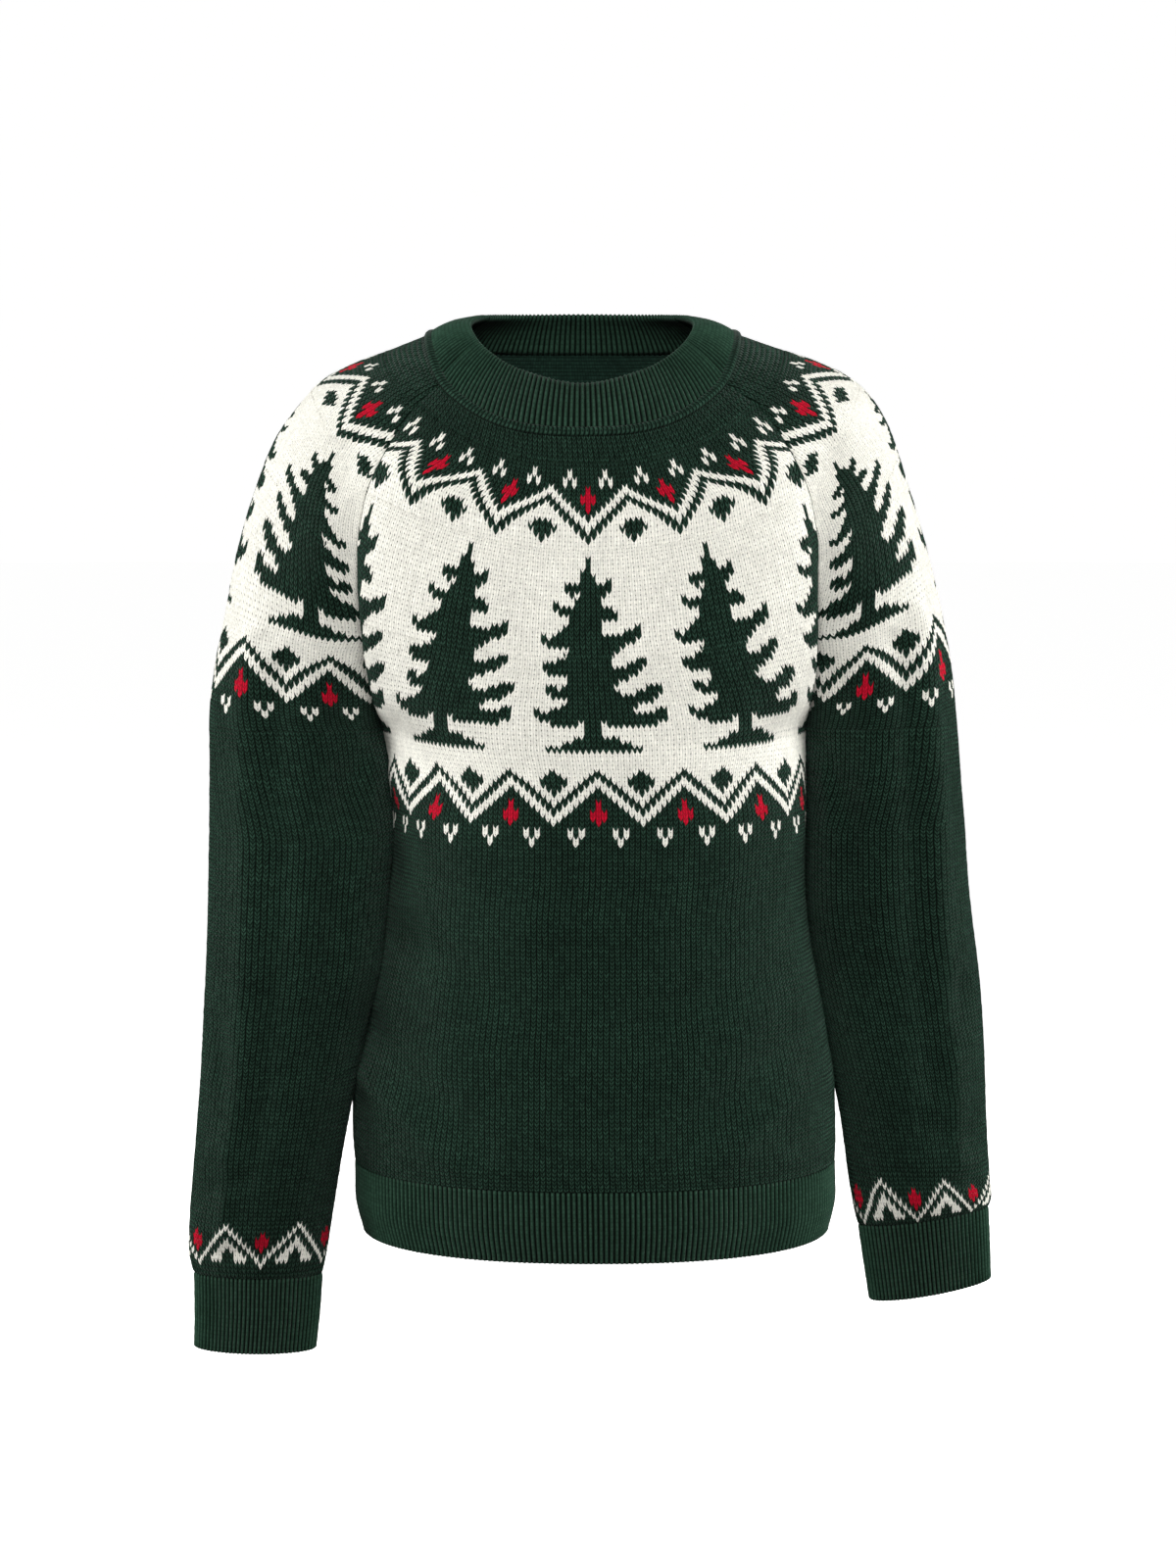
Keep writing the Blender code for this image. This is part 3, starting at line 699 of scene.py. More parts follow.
# A fir tree, charted: one letter a stitch, one line a row, the trunk in the middle
FIR = """
..............#..............
..............#..............
..............#..............
.............##..............
.............###.............
.............###..#..........
..........#########..........
..........#########..........
...........#.#####...........
............#####............
........#...#####............
........###########..........
.........###########.........
...........#########.........
...........######............
..........#######......#.....
.........########....###.....
......#.################.....
......#################......
.......##############........
...........#########.........
..........#########..........
........###########.....##...
.....##############...####...
.....####################....
......##################.....
..........############.......
..........##########.........
......##.##########......###.
......##############...#####.
.......####################..
..........################...
.........##############......
....#..###############....###
....#########################
.....#######################.
.......#####.###.#########...
.............###.............
.............###.............
...........########..........
.........############........
......#################......
""".split()
FIR_STITCHES = np.array([[letter == "#" for letter in line] for line in FIR[::-1]])


def from_middle(columns, repeat):
    """Stitches to the nearest middle of a repeat, less than 0 before it."""
    return (columns + repeat // 2) % repeat - repeat // 2


def figure(apart, rows, halves):
    """Where a small flower or diamond is. halves holds how far it reaches in each row, from its lowest
    one."""
    inside = (rows >= 0) & (rows < len(halves))
    return inside & (apart <= np.take(halves, np.clip(rows, 0, len(halves) - 1)))


def lower_zigzag(yarn, columns, rows):
    """The white zigzag with dark rows and the white ground above it, diamonds over its valleys, red
    flowers under its peaks, and white dots."""
    peak = np.abs(from_middle(columns, ZIGZAG_REPEAT))
    valley = ZIGZAG_HALF - peak
    above = rows - valley
    yarn[(above == 0) | (above == 1) | (above >= 4)] = WHITE
    yarn[figure(valley, rows - 6, (0, 1, 2, 2, 1, 0))] = GREEN
    yarn[figure(peak, rows, (0, 1, 1, 0, 0))] = RED
    yarn[((rows == -2) | (rows == -3)) & (np.abs(peak - DOTS_AT) == 1)] = WHITE
    yarn[((rows == -4) | (rows == -5)) & (peak == DOTS_AT)] = WHITE


def cuff_zigzag(yarn, columns, rows):
    """The white zigzag above a cuff, flowers over its valleys and open triangles under its peaks."""
    peak = np.abs(from_middle(columns, ZIGZAG_REPEAT))
    valley = ZIGZAG_HALF - peak
    above = rows - valley
    hollow = ((peak <= 1) & (rows <= 2)) | ((peak == 0) & (rows == 3))
    yarn[above == 0] = WHITE
    yarn[(above <= -3) & (rows >= 1) & ~hollow] = WHITE
    yarn[figure(valley, rows - 3, (0, 1, 1, 0))] = RED


def fir_trees(yarn, columns, rows, repeat):
    """The fir trees, a repeat apart. Rows are the piece's own."""
    height, width = FIR_STITCHES.shape
    apart = from_middle(columns, repeat)
    row = rows - FIR_ROW
    reach = min(width // 2, repeat // 2 - 1)
    inside = (row >= 0) & (row < height) & (np.abs(apart) <= reach)
    found = FIR_STITCHES[np.clip(row, 0, height - 1), np.clip(apart + width // 2, 0, width - 1)]
    yarn[inside & found] = GREEN


def upper_zigzag(yarn, columns, rows):
    """The end of the white ground, dark rows, the white zigzag, and the figures above it. Rows are
    counted from its tips."""
    tip = np.abs(from_middle(columns, ZIGZAG_REPEAT))
    above = rows - tip
    yarn[above >= -3] = GREEN
    yarn[(above == -1) | (above == 0)] = WHITE
    yarn[figure(ZIGZAG_HALF - tip, rows + 3, (0, 1, 2, 1))] = GREEN
    yarn[figure(tip, rows - 3, (0, 0, 1, 1, 0, 0))] = RED
    yarn[((rows == 11) | (rows == 12)) & (tip == DOTS_AT)] = WHITE
    yarn[((rows == 9) | (rows == 10)) & (np.abs(tip - DOTS_AT) == 1)] = WHITE


def yoke_chart(columns, rows, repeat, lower_shift=0, upper_shift=0, cuff_row=None, cuff_shift=0):
    """The yarn of each stitch of a piece. The shifts move the zigzags along to meet the trees."""
    below, trees, top = (np.full(rows.shape, ground) for ground in (GREEN, WHITE, WHITE))
    lower_zigzag(below, columns - lower_shift, rows)
    if cuff_row is not None:
        cuff_zigzag(below, columns - cuff_shift, rows - cuff_row)
    fir_trees(trees, columns, rows, repeat)
    upper_zigzag(top, columns - upper_shift, rows - UPPER_ROW)
    return np.where(rows < FIR_ROW, below, np.where(rows < NARROWING_ROWS[1], trees, top))


# Rows of each piece against the cloth's levels
BODY_ROWS_BELOW = (
    (-89, 20),
    (-82.3, 19),
    (-69.7, 18),
    (-59, 17),
    (-45, 16),
    (-35.7, 15),
    (-24.9, 14),
    (-12.3, 13),
)
BODY_ROWS = table(
    "row level",
    *BODY_ROWS_BELOW,
    (0, 11.88),
    (8, 11.04),
    (16, 10.1),
    (21.6, 9),
    (28.3, 8),
    (35, 7),
    (41.7, 6),
    (48.3, 5),
    (55, 4),
    (58, 3.52),
    (62, 3.03),
    (65, 2.66),
    (73, 1.97),
    (78, 1.3),
    (86.5, 0),
    (108, -3),
)
# On the back the middle of a row droops, so that more plain rows fill the higher neck
BACK_MIDDLE_ROWS = table(
    "row level",
    *BODY_ROWS_BELOW,
    (0, 11.95),
    (8, 11.15),
    (16, 10.2),
    (26, 9),
    (34, 8),
    (42, 7),
    (50.5, 6),
    (58, 5.1),
    (65, 4.25),
    (73, 3.25),
    (78, 2.72),
    (87, 1.65),
    (95, 0.9),
    (104, 0),
    (108, -0.5),
)
SLEEVE_ROWS_ABOVE = ((65, 2.85), (73, 2.05), (78, 1.5), (89, 0), (108, -3))
RIGHT_ROWS = table(
    "row level",
    (-144.4, 20),
    (-139.9, 19),
    (-133.5, 18),
    (-119.5, 17),
    (-99.5, 16),
    (-81, 15),
    (-67, 14),
    (-53, 13),
    (-38.5, 12),
    (-25, 11),
    (-10, 10),
    (0, 9.21),
    (8, 8.3),
    (16, 7.64),
    (36, 5.6),
    (58, 3.63),
    *SLEEVE_ROWS_ABOVE,
)
LEFT_ROWS = table(
    "row level",
    (-137.4, 20),
    (-134.5, 19),
    (-129.8, 18),
    (-115.5, 17),
    (-98.3, 16),
    (-80.9, 15),
    (-66, 14),
    (-53, 13),
    (-40, 12),
    (-26, 11),
    (-12, 10),
    (0, 9.1),
    (8, 8.22),
    (16, 7.62),
    (36, 5.6),
    (58, 3.66),
    *SLEEVE_ROWS_ABOVE,
)

# Width of a stitch by row, in each stretch between narrowings
BODY_BELOW_WIDTH = table(
    "row width",
    (-89, 3.88),
    (-59, 3.8),
    (-36, 3.65),
    (-10, 3.66),
    (0, 3.68),
    (8, 3.58),
    (16, 3.72),
    (21, 3.78),
    (36, 3.32),
)
BODY_WIDTHS = (
    BODY_BELOW_WIDTH,
    table("row width", (36, 3.87), (58, 3.22), (60, 3.17)),
    table("row width", (60, 3.84), (65, 3.75), (73, 3.06), (80, 2.75)),
    table("row width", (80, 3.45), (87, 3.15), (108, 2.9)),
)
SLEEVE_WIDTHS = (
    table("row width", (-10, 4.08), (0, 4.06), (8, 4.03), (16, 4.0), (36, 3.45)),
    table("row width", (36, 4.02), (58, 3.32), (60, 3.28)),
    table("row width", (60, 4.02), (65, 3.9), (73, 3.7), (80, 3.25)),
    table("row width", (80, 3.9), (89, 3.3), (108, 3.0)),
)
NARROWEST_STITCH = 2.75

# Where the wale in the middle of a tree lies on a sleeve, from the outer line
RIGHT_LEAN = table("row shift", (-38, 0), (0, 14), (8, 14), (20, 12), (58, 0), (108, 0))
LEFT_LEAN = table(
    "row shift", (-38, 0), (0, 21), (8, 21), (22, 20), (58, -11), (64, -11), (108, -9)
)
# Stitches round a sleeve below the yoke. Over ROUND_ROWS they go over to their own width.
RIGHT_ROUND = table("row stitches", (-142, 82), (0, 82))
LEFT_ROUND = table("row stitches", (-137, 94), (-120, 92), (-60, 82), (0, 82))
ROUND_ROWS = 40

# A stitch is four columns of the knitted grid wide and one row high. Its borders stand half a row up
# and its middle half a row down, which makes the V. The two legs of the V stand out.
QUARTERS = 4
V_RISE = np.array([0.5, -0.02, -0.5, -0.02])
LEG_HEIGHT = np.array([-0.30, 0.42, -0.34, 0.42])

# How uneven stitches are: in height, in stitches to the side (SWAY_ROWS together) and in rows
UNEVEN_HEIGHT = 0.10
UNEVEN_WIDTH = 0.045
SWAY_ROWS = 3
UNEVEN_ROW = 0.05

# At a seam the cloth turns in by EDGE_TUCK over EDGE_WIDTH, and at the piece's two ends by END_SINK
EDGE_TUCK = 1.1
EDGE_WIDTH = 1.6
END_SINK = 0.1

# Where two stretches meet, the first row of the upper one stands out and the last two of the lower one
# sink in, the very last one under it
FIRST_ROW_RISE = 0.15
LAST_ROW_SINK = 0.15
UNDER_ROW_SINK = 0.8

# A place's level and share depend on each other, so they are worked out in turns
TURNS = 4

# Points closer than this, in metres, become one
WELD = 2e-5


def within(source, name, key):
    """A column of a table, with the key kept between the table's first and last."""
    keys = source[next(iter(source))]
    return read(source, name, np.clip(key, keys[0], keys[-1]))


def row_level(plan, row, share):
    """The cloth's level of places on knitted rows."""
    level = within(plan["rows"], "level", row)
    if "middle_rows" in plan:
        middle = within(plan["middle_rows"], "level", row)
        level = middle + (level - middle) * share**2
    return level


def stitch_width(plan, stretch, row, half):
    """How wide stitches are. On a sleeve below the yoke they share out its round between them."""
    flat = within(plan["widths"][stretch], "width", row)
    if "round" not in plan or stretch > 0:
        return flat
    tube = half / (within(plan["round"], "stitches", row) / 2)
    share = np.clip((row + ROUND_ROWS) / ROUND_ROWS, 0, 1)
    return tube + (flat - tube) * (share * share * (3 - 2 * share))


def unevenness(seed, stitch, step, size):
    """A seeded value for each stitch."""
    draw = np.random.default_rng(seed).normal(0, 1, size)
    return np.clip(draw, -2, 2)[step % size[0], stitch % size[1]]


def numbered_grid(wide, high):
    """A flat grid, with the column and the row of each of its points."""
    grid = bmesh.new()
    bmesh.ops.create_grid(grid, x_segments=wide, y_segments=high, size=1)
    grid.verts.index_update()
    spots = np.array([vert.co[:2] for vert in grid.verts])
    column, row = np.rint((spots + 1) / 2 * (wide, high)).astype(int).T
    return grid, column, row


def shape_grid(grid, points, across, up):
    """Moves a grid's points to their places. across and up are counted in stitches, for the yarn's
    pattern."""
    stitches = np.stack([across, up], axis=-1).tolist()
    stitch_map = grid.loops.layers.uv.new("stitches")
    for face in grid.faces:
        face.smooth = True
        for loop in face.loops:
            loop[stitch_map].uv = stitches[loop.vert.index]
    for vert, point in zip(grid.verts, points * MM):
        vert.co = point


def knit_stretch(cloth, plan, stretch, first_row, last_row, seed):
    """One stretch of knitting between two narrowings. Where it doesn't end the piece, one more row goes
    on under the next stretch's first stitches."""
    starts, ends = stretch == 0, stretch == len(plan["widths"]) - 1
    reach = int(max(cloth.half[0].max(), cloth.half[1].max()) / NARROWEST_STITCH) + 3
    high = last_row - first_row + (not ends)
    grid, quarter, step = numbered_grid((2 * reach + 1) * QUARTERS, high)
    phase = quarter % QUARTERS
    # Stitches are counted from the middle one, and a border belongs to the stitch after it
    column = quarter / QUARTERS - reach - 0.5
    stitch = np.floor(column + 0.5 + 1e-6).astype(int)
    size = (high + 1, 2 * reach + 2)
    at_end = ((step == 0) & starts) | ((step == high) & ends)
    uneven_row = UNEVEN_ROW * unevenness(seed, stitch, step, size)
    row = first_row + step + ~at_end * V_RISE[phase] + ~at_end * uneven_row
    sway = UNEVEN_WIDTH * unevenness(seed + 1, stitch, step // SWAY_ROWS, size)
    lean = within(plan["lean"], "shift", row) if "lean" in plan else 0
    share = np.zeros_like(column)
    for _ in range(TURNS):
        level = row_level(plan, row, share)
        half = cloth.half_length(level, column)
        arc = (column + sway) * stitch_width(plan, stretch, row, half) + lean
        half = cloth.half_length(level, arc)
        share = np.clip(arc / half, -1, 1)

    rise = LEG_HEIGHT[phase] + UNEVEN_HEIGHT * unevenness(seed + 2, stitch, step, size)
    edge = np.clip((half - np.abs(arc)) / EDGE_WIDTH, 0, 1)
    rise = np.where(at_end, -END_SINK, rise * edge - EDGE_TUCK * (1 - edge) ** 2)
    if not starts:
        rise[step == 0] += FIRST_ROW_RISE
    if not ends:
        rise[step == high - 1] -= LAST_ROW_SINK
        rise[step == high] -= UNDER_ROW_SINK
    points, normals = cloth.at(level, share)
    shape_grid(grid, points + rise[:, None] * normals, quarter / QUARTERS, step)

    # Faces wholly past a seam or an end of the cloth are cut away
    corners = np.array([[vert.index for vert in face.verts] for face in grid.faces])
    past = np.stack([share <= -1, share >= 1, level <= 0, level >= HEM_LEVEL])
    cut_away = past[:, corners].all(axis=2).any(axis=0)
    yarn = yoke_chart(
        quarter[corners].min(axis=1) // QUARTERS - reach,
        first_row + step[corners].min(axis=1),
        FIR_REPEATS[stretch],
        **plan["chart"],
    )
    for face, number in zip(grid.faces, yarn.tolist()):
        face.material_index = number
    gone = [face for face, cut in zip(grid.faces, cut_away) if cut]
    bmesh.ops.delete(grid, geom=gone, context="FACES")
    bmesh.ops.remove_doubles(grid, verts=grid.verts, dist=WELD)
    return grid


def finished(name, mesh, finishes, node=None):
    """A piece from a bmesh, riding on the garment. With a node's name, it takes that solid's place."""
    data = bpy.data.meshes.new(name)
    mesh.to_mesh(data)
    mesh.free()
    for finish in finishes:
        data.materials.append(finish)
    data.shade_smooth()
    piece = bpy.data.objects.new(name, data)
    bpy.context.scene.collection.objects.link(piece)
    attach(piece, "root")
    if node:
        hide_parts(node)
    return piece


def knit_piece(name, cloth, plan, seed):
    """The outside of a piece: its stretches of knitting in one mesh, in place of its solid."""
    whole = bmesh.new()
    bounds = (math.ceil(plan["rows"]["row"][0]) - 1, *NARROWING_ROWS, plan["last_row"])
    for stretch in range(len(plan["widths"])):
        grid = knit_stretch(
            cloth, plan, stretch, bounds[stretch], bounds[stretch + 1], seed + 10 * stretch
        )
        part = bpy.data.meshes.new("stretch")
        grid.to_mesh(part)
        grid.free()
        whole.from_mesh(part)
        bpy.data.meshes.remove(part)
    if cloth.outward > 0:
        bmesh.ops.reverse_faces(whole, faces=whole.faces)
    return finished(name, whole, yarns, name.removesuffix("_knit"))


# The inside of a piece: its grid, and its stitches in half a row and rows in a level
SKIN_PLACES = 60
SKIN_LEVELS = 100
PURL_ACROSS = 58
PURL_UP = 9
SKIN_END = 0.999


def skin(name, cloth):
    """The inside of a piece: the purl side of its cloth."""
    grid, column, row = numbered_grid(SKIN_PLACES, SKIN_LEVELS)
    share = column / SKIN_PLACES * 2 - 1
    level = row / SKIN_LEVELS * HEM_LEVEL
    points, normals = cloth.at(level, share * SKIN_END)
    shape_grid(grid, points - WALL * normals, share * PURL_ACROSS, level * PURL_UP)
    bmesh.ops.remove_doubles(grid, verts=grid.verts, dist=WELD)
    if cloth.outward > 0:
        bmesh.ops.reverse_faces(grid, faces=grid.faces)
    return finished(name, grid, (purl_yarn,))


# A rib's four columns by their height above the band's base: its crown, a side, the valley, a side.
# At the joined end it is less high, and inside the band half as high.
RIB_COLUMNS = 4
RIB_SECTION = np.array([1.4, 0.4, -0.7, 0.4])
JOINED_RIB = 0.65
JOINED_RISE = 0.7
INSIDE_RIB = 0.5
UNEVEN_RIB = 0.07

# Rows round a band's free edge, and how far its middle stands past the faces' ends
EDGE_ROWS = 3
HEM_EDGE = np.array([0, 0, -0.9])
NECK_EDGE_ROUND = 1.4

# A band's face is worked out at this many places down it, and across a hem and round a cuff
BAND_LEVELS = 21
HEM_PLACES = 321
CUFF_PLACES = 241

# Knitted rows down a band's outer face and its inner face
HEM_ROWS = (17, 5)
CUFF_ROWS = (18, 6)
NECKBAND_ROWS = (11, 8)


class BandFace:
    """One face of a band, from its joined end to its free end, and the rows it is knitted in."""

    def __init__(self, points, normals, rows):
        self.points, self.normals, self.rows = points, normals, rows

    def at(self, share, along):
        """Points and directions by the share of the way across and of the way down."""
        high, wide = self.points.shape[:2]
        return surface_at(self.points, self.normals, along * (high - 1), share * (wide - 1))


def ribbed_band(name, node, slot, ribs, outside, inside, edge, seed, side_seams=False):
    """A ribbed band as one closed form: down its outer face, round its free edge, up its inner face.
    edge(share) says how far and which way the middle of the free edge stands past the faces."""
    high = outside.rows + EDGE_ROWS + inside.rows + 1
    grid, column, row = numbered_grid(ribs * RIB_COLUMNS, high)
    phase = column % RIB_COLUMNS
    share = column / (ribs * RIB_COLUMNS)
    # The last row meets the first one again
    step = np.where(row == high, 0, row)

    draw = np.random.default_rng(seed).normal(0, 1, (ribs + 2, high + 2)).clip(-2, 2)
    joined = step == 0
    rise = RIB_SECTION[phase] * np.where(joined, JOINED_RIB, 1)
    rise = rise + UNEVEN_RIB * draw[column // RIB_COLUMNS, step]
    rise = np.where(joined, rise * JOINED_RISE, rise)
    outer, facing = outside.at(share, np.clip(step / outside.rows, 0, 1))
    points = outer + rise[:, None] * facing

    past_edge = step - outside.rows - EDGE_ROWS
    rise_in = INSIDE_RIB * RIB_SECTION[(phase + RIB_COLUMNS // 2) % RIB_COLUMNS]
    inner, facing = inside.at(share, 1 - np.clip(past_edge / inside.rows, 0, 1))
    points = np.where((past_edge >= 0)[:, None], inner - rise_in[:, None] * facing, points)

    turn = ((step - outside.rows) / EDGE_ROWS)[:, None]
    outer, facing = outside.at(share, np.ones_like(share))
    outer = outer + RIB_SECTION[phase][:, None] * facing
    inner, facing = inside.at(share, np.ones_like(share))
    inner = inner - rise_in[:, None] * facing
    rounded = outer * (1 - turn) + inner * turn + edge(share) * np.sin(np.pi * turn)
    points = np.where((turn > 0) & (turn < 1), rounded, points)

    shape_grid(grid, points, (column + RIB_COLUMNS // 2) / RIB_COLUMNS, row)
    bmesh.ops.remove_doubles(grid, verts=grid.verts, dist=WELD)
    if side_seams:
        bmesh.ops.holes_fill(grid, edges=[e for e in grid.edges if e.is_boundary], sides=0)
    bmesh.ops.recalc_face_normals(grid, faces=grid.faces)
    return finished(name, grid, (rib_yarn,), node)


def hem_faces(back):
    """The outer and the inner face of one half of the hem's band, between its side seams."""
    outward = 1 if back else -1
    levels = np.linspace(0, 2, BAND_LEVELS)
    shares = np.linspace(-1, 1, HEM_PLACES)
    rows = np.array([row_points(body_row(level, back, HEM), shares) for level in levels])
    facing = np.cross(np.gradient(rows, axis=1), np.gradient(rows, axis=0))
    facing = outward * unit(unit(facing) * (1, 1, 0))
    rows[:, [0, -1], 1] += outward * HALF_GAP
    rows[0, :, 2] -= HALF_GAP
    inner = rows - WALL * facing
    inner[:, 0] = rows[:, 0] + (WALL, 0, 0)
    inner[:, -1] = rows[:, -1] - (WALL, 0, 0)
    return BandFace(rows, facing, HEM_ROWS[0]), BandFace(inner, facing, HEM_ROWS[1])


def cuff_faces(side, source):
    """The outer and the inner face of a cuff, round from its front."""
    levels = np.linspace(0, 2, BAND_LEVELS)
    shares = np.linspace(-1, 1, CUFF_PLACES)
    rows = np.array([row_points(sleeve_row(level, side, source), shares) for level in levels])
    middle = rows[:, :-1].mean(axis=1, keepdims=True)
    axis = unit(middle[-1] - middle[0])[None]
    facing = aligned(unit(np.cross(ring_gradient(rows), axis)), rows - middle)
    inner = rows - WALL * facing
    return BandFace(rows, facing, CUFF_ROWS[0]), BandFace(inner, facing, CUFF_ROWS[1])


# Places round the neck seam and up the neckband
NECK_PLACES = 705
NECKBAND_LEVELS = 15


def neck_loop():
    """The neck seam and its directions, from the middle of the front round the wearer's left."""
    pieces = (
        (front_cloth, range(MIDDLE, PLACES)),
        (left_cloth, range(0, PLACES)),
        (back_cloth, range(PLACES - 1, -1, -1)),
        (right_cloth, range(PLACES - 1, -1, -1)),
        (front_cloth, range(0, MIDDLE)),
    )
    points = np.array([cloth.points[0, column] for cloth, columns in pieces for column in columns])
    normals = np.array([cloth.normals[0, column] for cloth, columns in pieces for column in columns])
    apart = np.linalg.norm(np.roll(points, -1, axis=0) - points, axis=1) > 1e-4
    points, normals = (np.concatenate([some[apart], some[apart][:1]]) for some in (points, normals))
    lengths = lengths_along(points)
    at = np.linspace(0, lengths[-1], NECK_PLACES)
    return interpolated(at, lengths, points), unit(interpolated(at, lengths, normals))


neck_points, neck_normals = neck_loop()


def neckband_faces():
    """The outer and the inner face of the neckband, from the neck seam to its free edge."""
    low = neck_points
    high = neck_edge(neck_angle(low))
    away = unit(high - low)
    band = aligned(unit(np.cross(unit(ring_gradient(low)), high - low)), neck_normals)
    shares = np.linspace(0, 1, NECKBAND_LEVELS)[:, None, None]
    bulge = NECKBAND_BULGE * 4 * shares * (1 - shares)
    outer = low * (1 - shares) + high * shares + bulge * band
    outer[0] = low + HALF_GAP * away
    facing = np.repeat(band[None], NECKBAND_LEVELS, axis=0)
    facing[0] = unit(band + neck_normals)
    facing[1] = unit(facing[0] + band)
    inner = outer - NECKBAND_WALL * facing
    return BandFace(outer, facing, NECKBAND_ROWS[0]), BandFace(inner, facing, NECKBAND_ROWS[1])


def neck_edge_out(share):
    """How far and which way the neckband's free edge is rounded, by the share of the way round."""
    at = share * (len(neck_points) - 1)
    low = interpolated(at, np.arange(len(neck_points)), neck_points)
    return NECK_EDGE_ROUND * unit(neck_edge(neck_angle(low)) - low)


# How much a linked stitch swells in its middle, and how flat a chain lies
LINK_SWELL = 0.1
LINK_FLATNESS = 0.75
ROPE_WELD = 1e-5


def rope(name, centres, facing, radius, links, sides=10, per_link=6, closed=True):
    """A chain of linked stitches along a line."""
    count = links * per_link
    grid, column, side = numbered_grid(count, sides)
    at = column / count * (len(centres) - 1)
    i = np.minimum(at.astype(int), len(centres) - 2)
    over = (at - i)[:, None]
    centre = centres[i] * (1 - over) + centres[i + 1] * over
    out = unit(facing[i] * (1 - over) + facing[i + 1] * over)
    across = unit(np.cross(unit(centres[i + 1] - centres[i]), out))
    turn = 2 * np.pi * side / sides
    link = column / per_link - 0.5 * np.abs(np.cos(turn))
    r = radius * (1 + LINK_SWELL * np.cos(2 * np.pi * link))
    points = centre + (r * np.cos(turn) * LINK_FLATNESS)[:, None] * out
    shape_grid(grid, points + (r * np.sin(turn))[:, None] * across, side / sides * 2 + 0.5, link)
    bmesh.ops.remove_doubles(grid, verts=grid.verts, dist=ROPE_WELD)
    if not closed:
        bmesh.ops.holes_fill(grid, edges=[e for e in grid.edges if e.is_boundary], sides=0)
    bmesh.ops.recalc_face_normals(grid, faces=grid.faces)
    return finished(name, grid, (green_yarn,))


def to_linear(code):
    """An sRGB hex colour as the linear colour that a shader takes."""
    values = [int(code[at : at + 2], 16) / 255 for at in (1, 3, 5)]
    return (*(v / 12.92 if v <= 0.04045 else ((v + 0.055) / 1.055) ** 2.4 for v in values), 1.0)


def add_node(tree, kind, links=(), **settings):
    """One node's first output: its settings by name, and links as (input, source socket or value)."""
    node = tree.nodes.new(kind)
    for name, value in settings.items():
        setattr(node, name, value)
    for socket, source in links:
        if isinstance(source, bpy.types.NodeSocket):
            tree.links.new(source, node.inputs[socket])
        else:
            node.inputs[socket].default_value = source
    return node.outputs[0]


# Sizes in the yarn, in metres: fibres, flecks where it is thicker, and slow random changes of tone,
# which also stand in for the soft shade of folds as painted shade. Real fibres are far finer, and are
# drawn this coarse so that they show.
FIBRE = 0.0006
FLECK = 0.0016
TONE = 0.04

# How much fibres and flecks change the yarn's tone, and how far fibres stand out of a strand
FIBRE_TONE = 0.34
FLECK_TONE = 0.5
FIBRE_SWELL = 0.35

# A stitch's eye, by the share of its height: its middle and half its size
EYE_MIDDLE = 0.6
EYE_HALF = 0.12


